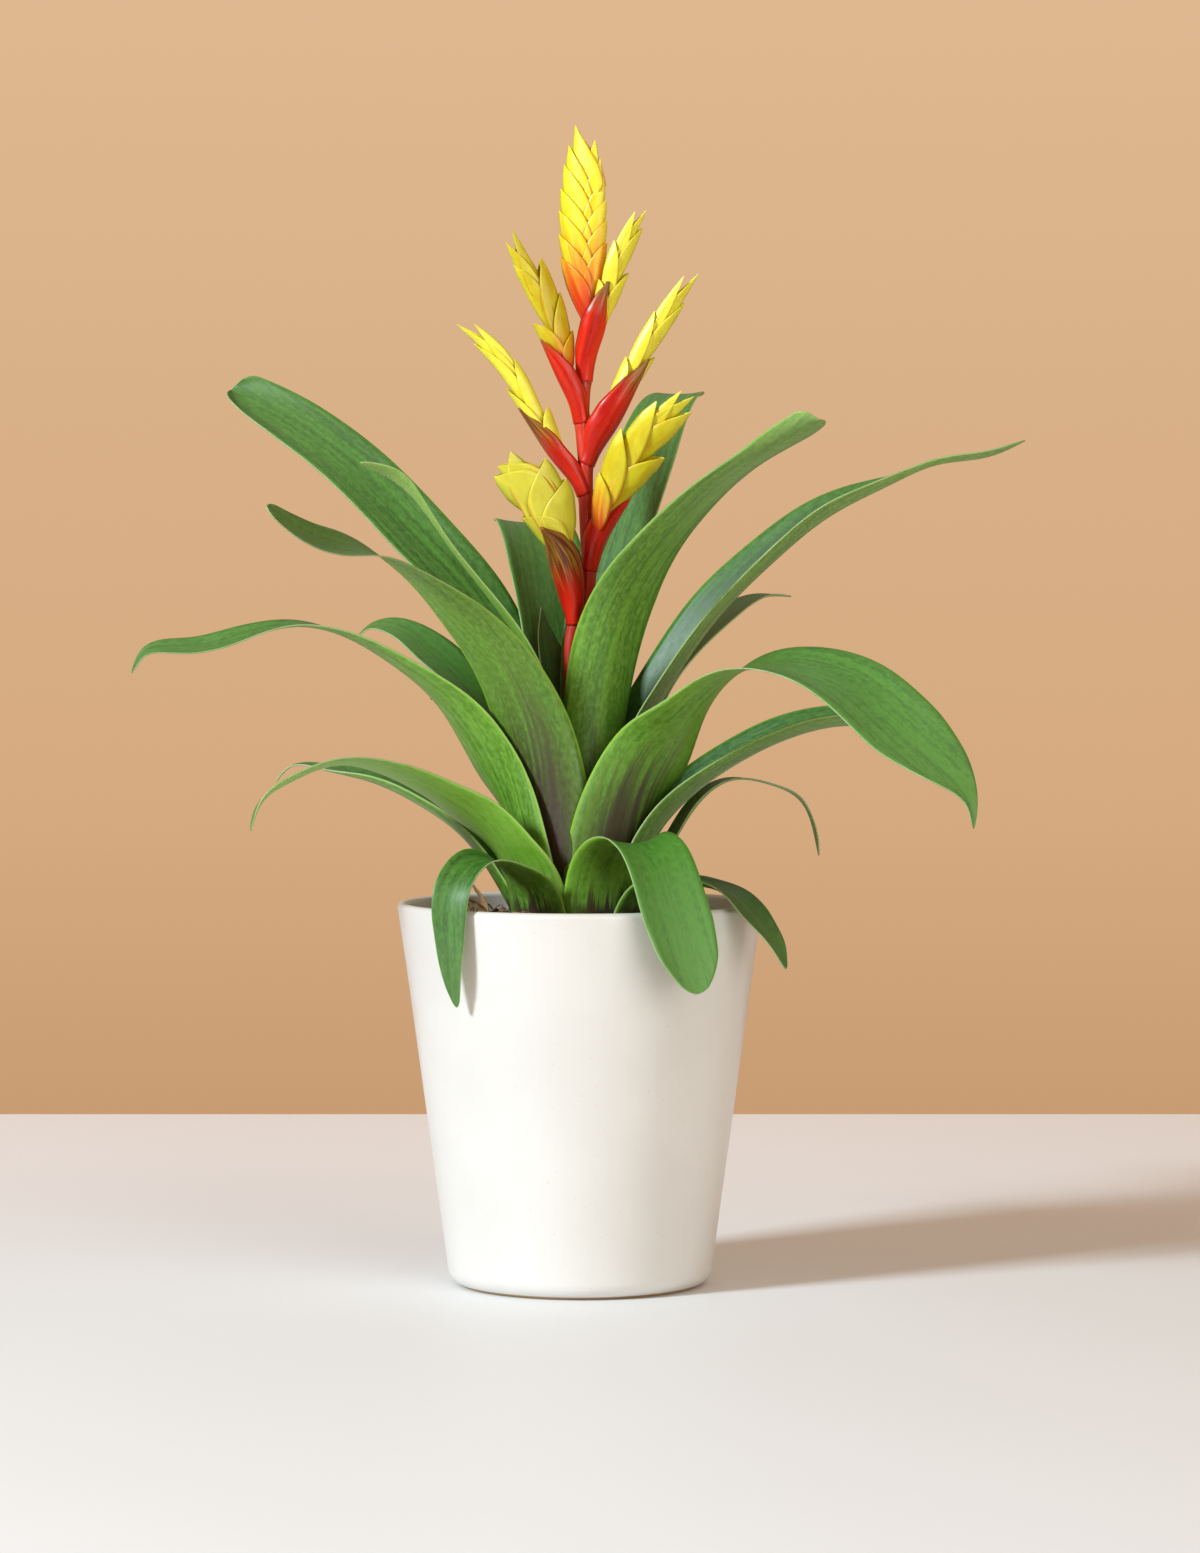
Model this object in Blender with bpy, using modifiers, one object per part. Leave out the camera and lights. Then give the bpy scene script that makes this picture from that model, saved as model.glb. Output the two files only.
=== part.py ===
"""Potted bromeliad: a flared pot, its soil, a rosette of arching leaves and a branched flower spike.

Metres, +Z up. The origin is the centre of the pot's foot, and -Y is the side the flowers face.
"""

from math import atan2, cos, pi, radians, sin

import bmesh
import bpy
import numpy as np

MM = 0.001

# Pot
potHeight = 147 * MM
potRimRadius = 70 * MM
potFootRadius = 50 * MM
potWall = 4 * MM
potFloor = 8 * MM
potFootRound = 7 * MM
potTurns = 48

# Soil
soilBelowRim = 5 * MM
soilEdgeDrop = 8 * MM
soilCrownRadius = 34 * MM
fitGap = 0.3 * MM
leafFootGap = 0.65 * MM

# Plant
leafThickness = 0.7 * MM
leafReach = 1.0
leafRise = 1.0
bractThickness = 0.6 * MM
leafRows = 17
leafColumns = 5
stemRadius = 2.75 * MM
spikeRows = 21

soilTop = potHeight - soilBelowRim
rimShare = potRimRadius / (70 * MM)

for leftover in list(bpy.data.objects):
    bpy.data.objects.remove(leftover)

partColl = bpy.data.collections.new("potted_bromeliad")
bpy.context.scene.collection.children.link(partColl)


def flatMaterial(name, colour, roughness=0.5):
    """One plain material per sub-part, in linear colour."""
    mat = bpy.data.materials.new(name)
    mat.use_nodes = True
    shader = mat.node_tree.nodes["Principled BSDF"]
    shader.inputs["Base Color"].default_value = (*colour, 1)
    shader.inputs["Roughness"].default_value = roughness
    mat.diffuse_color = (*colour, 1)
    return mat


def addObject(name, mesh, mat):
    """Put a mesh into the scene as one named sub-part."""
    mesh.materials.append(mat)
    obj = bpy.data.objects.new(name, mesh)
    partColl.objects.link(obj)
    return obj


def smoothShade(mesh):
    """Smooth shading, with sharp edges where faces turn by more than 40 degrees."""
    mesh.shade_smooth()
    mesh.set_sharp_from_angle(angle=radians(40))


def turned(name, profile, mat):
    """A body of revolution from (radius, height) points, which start and end on the axis."""
    mesh = bpy.data.meshes.new(name)
    mesh.from_pydata(
        [(r, 0, z) for r, z in profile],
        [(i, i + 1) for i in range(len(profile) - 1)],
        [],
    )
    obj = addObject(name, mesh, mat)
    screw = obj.modifiers.new("turn", "SCREW")
    screw.steps = potTurns
    screw.render_steps = potTurns
    screw.use_merge_vertices = True
    screw.merge_threshold = 1e-5
    smoothShade(mesh)
    return obj


def spline(points, share):
    """A natural cubic through the points, at shares of its chord length from 0 to 1."""
    p = np.array(points, float)
    step = np.linalg.norm(np.diff(p, axis=0), axis=1)
    at = np.concatenate([[0], np.cumsum(step)])
    count = len(p)
    rows = np.eye(count)
    right = np.zeros_like(p)
    for i in range(1, count - 1):
        rows[i, i - 1 : i + 2] = step[i - 1], 2 * (step[i - 1] + step[i]), step[i]
        right[i] = 6 * ((p[i + 1] - p[i]) / step[i] - (p[i] - p[i - 1]) / step[i - 1])
    bend = np.linalg.solve(rows, right)
    s = np.asarray(share, float) * at[-1]
    k = np.clip(np.searchsorted(at, s, side="right") - 1, 0, count - 2)
    h = step[k][:, None]
    u = (at[k + 1] - s)[:, None]
    v = (s - at[k])[:, None]
    curve = (bend[k] * u**3 + bend[k + 1] * v**3) / (6 * h)
    return curve + (p[k] / h - bend[k] * h / 6) * u + (p[k + 1] / h - bend[k + 1] * h / 6) * v


def ease(x):
    """A smooth step from 0 to 1."""
    x = np.clip(x, 0, 1)
    return x * x * (3 - 2 * x)


def unit(v):
    return v / np.linalg.norm(v, axis=-1, keepdims=True)


def bladePoints(spine, azimuth, halfWidth, sheath, channel, taper, power, roll, share, across):
    """Points of a strap blade, rows along it and columns over it.

    spine is (radius, height) in mm from the crown's axis, and azimuth turns from -Y towards +X.
    Near the axis the blade wraps round it, and farther out it is a channel of that half angle.
    """
    az = radians(azimuth)

    def centre(s):
        rz = spline(spine, np.clip(s, 0, 1))
        return rz[:, 0], np.stack([rz[:, 0] * sin(az), -rz[:, 0] * cos(az), rz[:, 1]], -1)

    radius, mid = centre(share)
    along = unit(centre(share + 1e-3)[1] - centre(share - 1e-3)[1])
    side = unit(np.array([cos(az), sin(az), 0]) + 0 * along)
    inner = np.cross(along, side)
    keys = np.array(roll, float)
    turn = np.radians(np.interp(share, keys[:, 0], keys[:, 1]))[:, None]
    side, inner = (
        np.cos(turn) * side + np.sin(turn) * inner,
        np.cos(turn) * inner - np.sin(turn) * side,
    )
    half = halfWidth * (1 - np.clip((share - taper) / (1 - taper), 0, 1) ** power)
    half = half + (sheath - halfWidth) * (1 - ease(share / 0.35))
    half = np.maximum(half, 0.8)
    cups = [10, 10, channel, channel * 0.8, channel * 0.4]
    cup = np.radians(np.interp(share, [0, 0.15, 0.4, 0.8, 1], cups))
    cup = np.maximum(cup, np.minimum(half / np.maximum(radius, 3), pi / 2))
    bend = half / cup
    angle = cup[:, None] * across[None, :]
    sideways = (bend[:, None] * np.sin(angle))[:, :, None] * side[:, None, :]
    lift = (bend[:, None] * (1 - np.cos(angle)))[:, :, None] * inner[:, None, :]
    return mid[:, None, :] + sideways + lift


def sheet(name, points, mat, thickness=leafThickness):
    """A closed blade: the grid of points in mm, given its thickness."""
    rows, columns = points.shape[:2]
    mesh = bpy.data.meshes.new(name)
    form = bmesh.new()
    bmesh.ops.create_grid(form, x_segments=columns - 1, y_segments=rows - 1, size=1)
    form.verts.ensure_lookup_table()
    for vert in form.verts:
        row = round((vert.co.y + 1) / 2 * (rows - 1))
        column = round((vert.co.x + 1) / 2 * (columns - 1))
        vert.co = points[row, column] * MM
    form.to_mesh(mesh)
    form.free()
    smoothShade(mesh)
    obj = addObject(name, mesh, mat)
    solid = obj.modifiers.new("thickness", "SOLIDIFY")
    solid.thickness = thickness
    solid.offset = 0
    return obj


def ringLoft(name, rings, mat):
    """A closed body through rings of the same count, with a point at the last one."""
    form = bmesh.new()
    loops = [[form.verts.new(p * MM) for p in ring] for ring in rings]
    count = len(loops[0])
    for low, high in zip(loops[:-1], loops[1:]):
        for i in range(count):
            j = (i + 1) % count
            form.faces.new((low[i], low[j], high[j], high[i]))
    form.faces.new(loops[0][::-1])
    form.faces.new(loops[-1])
    bmesh.ops.recalc_face_normals(form, faces=form.faces)
    mesh = bpy.data.meshes.new(name)
    form.to_mesh(mesh)
    form.free()
    return addObject(name, mesh, mat)


# ---- Pot -------------------------------------------------------------------

potMat = flatMaterial("glaze", (0.88, 0.85, 0.80), 0.3)
wallLean = atan2(potRimRadius - potFootRadius, potHeight)


def outerRadius(z):
    return potFootRadius + (potRimRadius - potFootRadius) * z / potHeight


footArc = []
for i in range(5):
    a = pi / 2 * i / 4
    footArc.append(
        (
            outerRadius(potFootRound) - potFootRound * (1 - sin(a)),
            potFootRound * (1 - cos(a)),
        )
    )
lipArc = []
for i in range(5):
    a = pi * i / 4
    lipArc.append(
        (
            potRimRadius - potWall / 2 + potWall / 2 * cos(a),
            potHeight - potWall / 2 + potWall / 2 * sin(a),
        )
    )
floorRadius = outerRadius(potFloor) - potWall
potProfile = [
    (0, potFloor),
    (floorRadius - 3 * MM, potFloor),
    (floorRadius, potFloor + 3 * MM),
    *reversed(lipArc),
    *reversed(footArc),
    (0, 0),
]
turned("pot", potProfile, potMat)

# ---- Soil ------------------------------------------------------------------

soilMat = flatMaterial("soil", (0.035, 0.025, 0.018), 0.95)
soilEdge = soilTop - soilEdgeDrop


def soilRadius(z):
    return outerRadius(z) - potWall - fitGap


def soilHeight(r):
    """Height of the soil's top at a radius."""
    edge = soilRadius(soilEdge)
    middle = (edge + soilCrownRadius) / 2
    heights = (soilTop, soilTop - soilEdgeDrop * 0.4, soilEdge)
    return float(np.interp(r, (soilCrownRadius, middle, edge), heights))


soilProfile = [
    (0, soilTop),
    (soilCrownRadius, soilTop),
    ((soilRadius(soilEdge) + soilCrownRadius) / 2, soilTop - soilEdgeDrop * 0.4),
    (soilRadius(soilEdge), soilEdge),
    (floorRadius - fitGap, potFloor + 4 * MM),
    (floorRadius - 4 * MM, potFloor + fitGap),
    (0, potFloor + fitGap),
]
turned("soil", soilProfile, soilMat)

# ---- Leaves ----------------------------------------------------------------

greens = [
    flatMaterial("leaf_green_" + shade, colour, 0.4)
    for shade, colour in (
        ("light", (0.18, 0.30, 0.09)),
        ("mid", (0.11, 0.22, 0.05)),
        ("deep", (0.06, 0.15, 0.03)),
    )
]
noRoll = [(0, 0), (1, 0)]
leafShare = np.linspace(0, 1, leafRows)
leafAcross = np.linspace(-1, 1, leafColumns)
soilTopMm = soilTop / MM
leafCount = 0


def leaf(azimuth, base, halfWidth, sheath, spine,
         channel=28, taper=0.5, power=2.6, roll=noRoll, overRim=False):
    """The next leaf, outermost first. It starts at the base radius, and its spine is
    (radius, height over the soil). One that lies over the rim follows the rim's radius."""
    global leafCount
    leafCount += 1
    reach = rimShare if overRim else leafReach
    rise = 1 if overRim else leafRise
    path = [(base, soilTopMm + leafFootGap / MM)]
    path += [(r * reach, soilTopMm + z * rise) for r, z in spine]
    points = bladePoints(
        path, azimuth, halfWidth, min(sheath, 0.9 * base), channel, taper, power, roll,
        leafShare, leafAcross,
    )
    sheet(f"leaf_{leafCount:02d}", points, greens[leafCount % 3])


leaf(-42, 29, 8, 8.8,
     [(32, 10), (44, 20), (60, 23), (73, 13), (75, -4), (74, -18), (71, -31)],
     taper=0.6, power=2, overRim=True, roll=[(0, 0), (0.4, -15), (0.6, -25), (1, -25)])
leaf(57, 28, 11, 10,
     [(34, 13), (54, 18), (70, 13), (80, 4), (88, -5), (92, -13)],
     taper=0.6, power=2, overRim=True)
leaf(26, 26.3, 13.5, 12,
     [(32, 21), (46, 29), (64, 27), (75, 11), (82, -6), (89, -24)],
     taper=0.6, power=2, overRim=True, roll=[(0, 0), (1, 5)])
leaf(-100, 26, 12, 13,
     [(33, 13), (45, 29), (63, 42), (83, 51), (100, 55), (114, 56), (120, 50)],
     channel=50, roll=[(0, 0), (1, -10)])
leaf(175, 26, 12, 13,
     [(31, 23), (52, 46), (80, 61), (108, 64), (130, 56)])
leaf(108, 25, 6, 6.6,
     [(38, 28), (62, 51), (78, 49), (90, 43), (96, 31), (98, 21)])
leaf(-66, 24, 12, 13,
     [(29, 18), (42, 35), (60, 47), (80, 56), (100, 59), (118, 53), (130, 45), (134, 35)],
     roll=[(0, 0), (0.18, 5), (0.3, 22), (0.38, 15), (0.5, 2), (0.65, -12), (1, -8)])
leaf(-152, 23, 11, 12,
     [(31, 28), (52, 58), (80, 80), (106, 88), (130, 80)])
leaf(84, 23, 13, 14,
     [(27, 25), (39, 42), (60, 58), (83, 69), (104, 73), (125, 69), (140, 60), (147, 49)],
     channel=58, roll=[(0, 0), (0.2, 0), (0.4, -12), (0.6, 0), (1, 0)])
leaf(150, 21.2, 11, 12,
     [(29, 30), (48, 63), (76, 84), (100, 90), (122, 80)])
leaf(-84, 21.2, 12, 15,
     [(25, 30), (34, 54), (48, 77), (69, 95), (88, 106), (109, 111), (130, 107), (151, 103), (166, 101),
      (171, 93)],
     roll=[(0, 0), (0.13, 0), (0.25, 30), (0.35, 32), (0.45, 14), (0.6, 4), (0.8, 10)])
leaf(-112, 19.4, 11, 12,
     [(21, 30), (31, 63), (46, 86), (63, 101), (78, 110), (89, 110), (94, 108)],
     roll=[(0, 0), (0.5, -15), (0.75, -28), (1, -28)])
leaf(52, 19.2, 13.5, 17,
     [(23, 30), (33, 56), (53, 78), (78, 94), (104, 96), (131, 88), (155, 72), (175, 58), (184, 48),
      (184, 39)],
     taper=0.75,
     roll=[(0, 0), (0.12, -12), (0.26, -34), (0.35, -2), (0.5, 12), (0.65, 21), (0.8, 32), (1, 25)])
leaf(-175, 18.5, 8, 8,
     [(23, 43), (37, 83), (60, 106), (86, 120), (112, 116)])
leaf(-50, 17.8, 13, 16,
     [(19.5, 33), (25, 68), (39, 94), (63, 117), (87, 132), (106, 139), (128, 143), (144, 150),
      (152, 155)],
     roll=[(0, 0), (0.12, 0), (0.3, 25), (0.55, 28), (0.75, -5), (0.93, -50), (1, -55)])
leaf(132, 17, 12, 13,
     [(22, 44), (36, 80), (57, 102), (78, 115), (99, 122), (113, 122)])
leaf(-116, 16.3, 13, 14,
     [(18.2, 43), (28, 90), (45, 121), (65, 141), (85, 160), (107, 178), (130, 192), (146, 200),
      (154, 204)],
     taper=0.7, roll=[(0, 0), (0.3, -15), (0.6, -40), (1, -40)])
leaf(92, 15, 13, 12,
     [(17, 48), (34, 86), (54, 115), (75, 136), (96, 153), (119, 165), (138, 173), (156, 176),
      (171, 182)],
     channel=50, roll=[(0, 0), (0.2, 0), (0.4, -25), (0.65, -25), (0.85, 0), (1, -10)])
leaf(-154, 14.6, 16, 11,
     [(15.6, 55), (16.6, 65), (24, 98), (34, 130), (45, 150), (57, 157)],
     taper=0.75, power=4)
leaf(-78, 13.2, 11, 12,
     [(13.3, 44), (20, 98), (35, 121), (51, 142), (62, 158), (72, 168), (79, 171), (85, 173)])
leaf(38, 12.3, 14, 11,
     [(12.5, 52), (15, 83), (27, 117), (52, 143), (84, 163), (113, 175), (140, 186)],
     taper=0.6, roll=[(0, 0), (0.3, -18), (0.45, -13), (0.6, 0), (0.85, 0), (1, -10)])
leaf(152, 11, 15, 10,
     [(11.5, 59), (20, 121), (41, 160), (58, 184), (65, 200)],
     taper=0.7, power=4)
leaf(-125, 9.1, 8, 7,
     [(9.1, 59), (11.5, 86), (14, 105), (16, 117)])

# ---- Flower stem -------------------------------------------------------------

stemMat = flatMaterial("stem_red", (0.45, 0.03, 0.02), 0.4)
bractMat = flatMaterial("bract_red", (0.50, 0.03, 0.02), 0.4)
spikeMat = flatMaterial("spike_yellow", (0.80, 0.60, 0.02), 0.4)

# Stem axis in mm, heights over the soil.
stemPath = [(0, 0, 0.3), (-1, 0, 50), (-3.5, 0, 100), (-1.9, 0, 111), (2.6, 0, 122), (3.4, 0, 132),
            (2.3, 0, 159), (2.2, 0, 171), (0.9, 0, 188), (1.5, 0, 204), (1.9, 0, 223.5)]
stemSpline = [(x, y, soilTopMm + z * leafRise) for x, y, z in stemPath]


def stemAt(height):
    """Centre of the stem at a height over the soil, in mm."""
    heights = [p[2] for p in stemPath]
    x = float(np.interp(height, heights, [p[0] for p in stemPath]))
    return np.array([x, 0, soilTopMm + height * leafRise])


stemCurve = bpy.data.curves.new("flower_stem", "CURVE")
stemCurve.dimensions = "3D"
stemCurve.bevel_depth = stemRadius
stemCurve.bevel_resolution = 2
stemCurve.use_fill_caps = True
line = stemCurve.splines.new("POLY")
stemPoints = spline(stemSpline, np.linspace(0, 1, 26))
line.points.add(len(stemPoints) - 1)
for point, place in zip(line.points, stemPoints):
    point.co = (*(place * MM), 1)
stemCurve.materials.append(stemMat)
partColl.objects.link(bpy.data.objects.new("flower_stem", stemCurve))


# ---- Bracts and spikes -------------------------------------------------------

def bract(name, height, azimuth, spine, halfWidth):
    """A boat-shaped bract that clasps the stem at a height and opens towards its azimuth."""
    base = stemRadius / MM + fitGap / MM + 0.45
    path = [(base, 0), *spine]
    share = np.linspace(0, 1, 9)
    points = bladePoints(path, azimuth, halfWidth, base * 1.35, 26, 0.3, 2.2, noRoll, share, leafAcross)
    sheet(name, points + stemAt(height), bractMat, bractThickness)


def spike(name, path, wide, halfWidth, halfDepth, bracts):
    """A flattened spike of two ranks of bracts, whose tips step out in turn along both edges."""
    share = np.linspace(0, 1, spikeRows)
    mid = spline(path, share)
    ahead = spline(path, np.minimum(share + 1e-3, 1))
    behind = spline(path, np.maximum(share - 1e-3, 0))
    along = unit(ahead - behind)
    wide = unit(np.array(wide, float) - (along @ np.array(wide, float))[:, None] * along)
    deep = np.cross(along, wide)
    rings = []
    for i, s in enumerate(share):
        swell = (0.22 + 0.78 * ease((s - 0.05) / 0.5)) * (1 - 0.93 * ease((s - 0.55) / 0.45))
        left = halfWidth * swell * (0.78 + 0.3 * ((s * bracts) % 1))
        right = halfWidth * swell * (0.78 + 0.3 * ((s * bracts + 0.5) % 1))
        depth = max(halfDepth * swell, 0.5)
        ring = []
        for k in range(8):
            a = pi / 4 * k
            reach = right if cos(a) > 0 else left
            ring.append(mid[i] + wide[i] * reach * cos(a) + deep[i] * depth * sin(a))
        rings.append(ring)
    ringLoft(name, rings, spikeMat)


# height over the soil, azimuth, spine from the stem (radius, height), half width
bracts = [
    (111.0, -36, [(7, 8), (13.5, 19), (19, 28), (23, 34)], 7),
    (131.5, 40, [(7, 8), (13.5, 18), (20.5, 26), (27, 32)], 7),
    (160.0, -92, [(6.5, 6), (13, 14), (20, 23), (26, 31)], 7),
    (171.5, 92, [(6.5, 6), (12.5, 17), (18.5, 28), (25, 38)], 7),
    (188.0, -62, [(7, 7), (11, 15), (14.5, 23), (17, 31)], 5),
    (204.0, 20, [(6.2, 8), (8, 18), (9, 28), (8.5, 38)], 6),
]
for i, (height, azimuth, spine, halfWidth) in enumerate(bracts):
    bract(f"bract_{i + 1}", height, azimuth, spine, halfWidth)

# spine in mm (x, y, height over the soil), wide direction, half width, half depth, bracts a side
spikes = [
    ([(-0.6, -3.9, 119), (-4, -8, 133), (-8.5, -13, 148), (-14, -17, 161), (-27, -22, 172)],
     (1, 0, 0.8), 11, 2.2, 5),
    ([(5.2, -3.6, 143), (8.5, -8, 152), (14.5, -12, 165), (25, -18, 182), (42, -24, 199)],
     (1, 0.2, -0.8), 9.5, 2.2, 5),
    ([(-2, 0, 171), (-9.5, -1, 180), (-19, -2, 195), (-30.5, -3, 213), (-46, -5, 227)],
     (0.4, -1, 0.3), 7, 2.2, 5),
    ([(5.2, 0, 182), (10.5, -1, 191), (20, -2, 208), (30.5, -3, 226), (44, -5, 246)],
     (0.4, 1, -0.3), 7, 2.2, 5),
    ([(-3.3, -1.5, 200), (-7.5, -2, 216), (-12, -3, 230), (-18.5, -5, 245), (-27, -7, 261)],
     (1, 0.3, 0.5), 7.5, 2.2, 5),
    ([(6.3, -1, 217), (8.8, -2.5, 230), (12.5, -4, 243), (18, -5, 258), (24.5, -6, 270)],
     (0.7, 0.7, -0.3), 6.5, 2.2, 5),
    ([(1.9, 0, 224), (1.7, 0, 240), (1.2, 0, 262), (1.2, 0, 283), (0.8, 0, 302)],
     (1, 0, 0), 10, 2.6, 6),
]
for i, (path, wide, halfWidth, halfDepth, count) in enumerate(spikes):
    place = [(x, y, soilTopMm + z * leafRise) for x, y, z in path]
    spike(f"spike_{i + 1}", place, wide, halfWidth, halfDepth, count)

# ---- Dry sheaths and bark on the soil ----------------------------------------

dryMat = flatMaterial("dry_sheath", (0.16, 0.08, 0.03), 0.9)
for i, (azimuth, base, lean, rise) in enumerate([(-72, 38, 6, 13), (-58, 42, 9, 9), (-86, 42, 7, 10)]):
    foot = soilHeight((base - 1.5) * MM) / MM + leafFootGap / MM
    path = [(base, foot), (base + lean * 0.4, foot + rise * 0.6), (base + lean, foot + rise)]
    share = np.linspace(0, 1, 7)
    points = bladePoints(path, azimuth, 3.5, 4, 30, 0.4, 2, noRoll, share, leafAcross)
    sheet(f"dry_sheath_{i + 1}", points, dryMat)
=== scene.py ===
# Potted bromeliad: fine pieces, materials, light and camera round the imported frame.
# Lengths in the dictionaries are millimetres unless a note says otherwise.
import random
from math import cos, pi, radians, sin

import bmesh
import bpy
import numpy as np
from mathutils import Euler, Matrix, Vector, noise


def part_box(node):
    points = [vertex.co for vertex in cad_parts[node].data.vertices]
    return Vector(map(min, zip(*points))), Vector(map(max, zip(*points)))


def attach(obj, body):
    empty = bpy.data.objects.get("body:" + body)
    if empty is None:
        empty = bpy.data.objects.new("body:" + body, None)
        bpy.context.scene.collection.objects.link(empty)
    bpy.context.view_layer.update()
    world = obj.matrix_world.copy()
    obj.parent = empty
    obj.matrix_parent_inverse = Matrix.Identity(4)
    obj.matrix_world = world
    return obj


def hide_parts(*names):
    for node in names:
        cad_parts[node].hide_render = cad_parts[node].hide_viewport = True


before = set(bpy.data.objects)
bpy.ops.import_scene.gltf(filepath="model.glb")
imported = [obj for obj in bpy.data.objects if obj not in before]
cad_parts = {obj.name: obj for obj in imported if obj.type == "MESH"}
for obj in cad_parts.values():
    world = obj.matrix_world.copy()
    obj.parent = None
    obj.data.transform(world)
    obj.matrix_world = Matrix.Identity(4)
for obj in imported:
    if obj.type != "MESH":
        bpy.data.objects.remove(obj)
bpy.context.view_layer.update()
mm = 0.001
scene = bpy.context.scene
print("frame loaded,", len(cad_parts), "nodes")

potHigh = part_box("pot")[1]
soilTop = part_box("soil")[1].z / mm  # everything that grows starts from here
potHeight = potHigh.z / mm
potRim = potHigh.x / mm


# ---- node helpers

def put(tree, kind, feeds=None, **settings):
    node = tree.nodes.new("ShaderNode" + kind)
    for key, value in settings.items():
        setattr(node, key, value)
    for socket, value in (feeds or {}).items():
        if isinstance(value, bpy.types.NodeSocket):
            tree.links.new(value, node.inputs[socket])
        else:
            node.inputs[socket].default_value = value
    return node


def mixed(tree, factor, first, second, mode="MIX"):
    first, second = [(*c, 1) if isinstance(c, tuple) and len(c) == 3 else c for c in (first, second)]
    feeds = {0: factor, 6: first, 7: second}
    return put(tree, "Mix", feeds, data_type="RGBA", blend_type=mode).outputs[2]


def sums(tree, operation, first, second):
    return put(tree, "Math", {0: first, 1: second}, operation=operation).outputs[0]


def nudged(tree, value, pattern, amount):  # pushed up and down by a pattern that averages a half
    push = sums(tree, "MULTIPLY", sums(tree, "SUBTRACT", pattern, 0.5), amount)
    return sums(tree, "ADD", value, push)


def ranged(tree, value, low, high, newLow=0.0, newHigh=1.0):
    feeds = {0: value, 1: low, 2: high, 3: newLow, 4: newHigh}
    return put(tree, "MapRange", feeds, interpolation_type="SMOOTHSTEP").outputs[0]


def cloud(tree, vector, scale, detail=2.0, rough=0.5, twist=0.0):
    feeds = {"Vector": vector, "Scale": scale, "Detail": detail, "Roughness": rough, "Distortion": twist}
    return put(tree, "TexNoise", feeds).outputs[0]


def scaled(tree, vector, factors):
    return put(tree, "VectorMath", {0: vector, 1: factors}, operation="MULTIPLY").outputs[0]


def bodySpace(tree):
    return put(tree, "TexCoord").outputs["Object"]


def placeOf(tree):  # the four values that a piece stores at each of its points
    attribute = put(tree, "Attribute", attribute_name="place").outputs
    return [*put(tree, "SeparateColor", {0: attribute["Color"]}).outputs, attribute["Alpha"]]


def newGroup(name, takes, gives):
    tree = bpy.data.node_groups.new(name, "ShaderNodeTree")
    for label, kind, value in takes:
        socket = tree.interface.new_socket(name=label, in_out="INPUT", socket_type="NodeSocket" + kind)
        if value is not None:
            socket.default_value = (*value, 1) if kind == "Color" else value
    for label, kind in gives:
        tree.interface.new_socket(name=label, in_out="OUTPUT", socket_type="NodeSocket" + kind)
    return tree, tree.nodes.new("NodeGroupInput").outputs, tree.nodes.new("NodeGroupOutput").inputs


def useGroup(tree, group, values):
    node = tree.nodes.new("ShaderNodeGroup")
    node.node_tree = group
    for label, value in values.items():
        if isinstance(value, bpy.types.NodeSocket):
            tree.links.new(value, node.inputs[label])
        else:
            colour = isinstance(value, tuple) and len(value) == 3
            node.inputs[label].default_value = (*value, 1) if colour else value
    return node.outputs


def newMaterial(name, **sockets):
    mat = bpy.data.materials.new(name)
    mat.use_nodes = True
    shader = mat.node_tree.nodes["Principled BSDF"]
    for label, value in sockets.items():
        shader.inputs[label.replace("_", " ")].default_value = value
    return mat, mat.node_tree, shader


def finishSurface(tree, shader, colour, roughness=None, height=None, strength=0.3, depth=0.0003):
    tree.links.new(colour, shader.inputs["Base Color"])
    if roughness is not None:
        tree.links.new(roughness, shader.inputs["Roughness"])
    if height is not None:
        bump = put(tree, "Bump", {"Strength": strength, "Distance": depth, "Height": height})
        tree.links.new(bump.outputs[0], shader.inputs["Normal"])


# ---- shared effects

# streaks that run along a blade, soft mottling, and small flecks
tree, take, give = newGroup(
    "plantFibre",
    [("Across", "Float", 14.0), ("Along", "Float", 0.35), ("Mottle Scale", "Float", 2.0),
     ("Fleck Scale", "Float", 26.0), ("Fleck Share", "Float", 0.3)],
    [("Streaks", "Float"), ("Fine", "Float"), ("Mottle", "Float"), ("Flecks", "Float")],
)
grid = put(tree, "UVMap", uv_map="grid").outputs[0]
shift = sums(tree, "MULTIPLY", placeOf(tree)[2], 61.0)  # each tone gets its own stretch of the pattern
stretch = put(tree, "CombineXYZ", {0: take["Across"], 1: take["Along"], 2: 1.0}).outputs[0]
lift = put(tree, "CombineXYZ", {2: shift}).outputs[0]
flat = put(tree, "VectorMath", {0: grid, 1: lift}, operation="ADD").outputs[0]
long = put(tree, "VectorMath", {0: flat, 1: stretch}, operation="MULTIPLY").outputs[0]
tree.links.new(cloud(tree, long, 0.45, 3, 0.55), give["Streaks"])
tree.links.new(cloud(tree, long, 1.6, 2, 0.5), give["Fine"])
slow = scaled(tree, flat, (1.0, 0.45, 1.0))
tree.links.new(cloud(tree, slow, take["Mottle Scale"], 4, 0.6, 0.4), give["Mottle"])
dots = cloud(tree, scaled(tree, flat, (1.0, 0.7, 1.0)), take["Fleck Scale"], 1, 0.4)
high = sums(tree, "SUBTRACT", 1.0, sums(tree, "MULTIPLY", take["Fleck Share"], 0.5))
low = sums(tree, "SUBTRACT", high, 0.12)
tree.links.new(ranged(tree, dots, low, high), give["Flecks"])
plantFibre = tree

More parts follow.
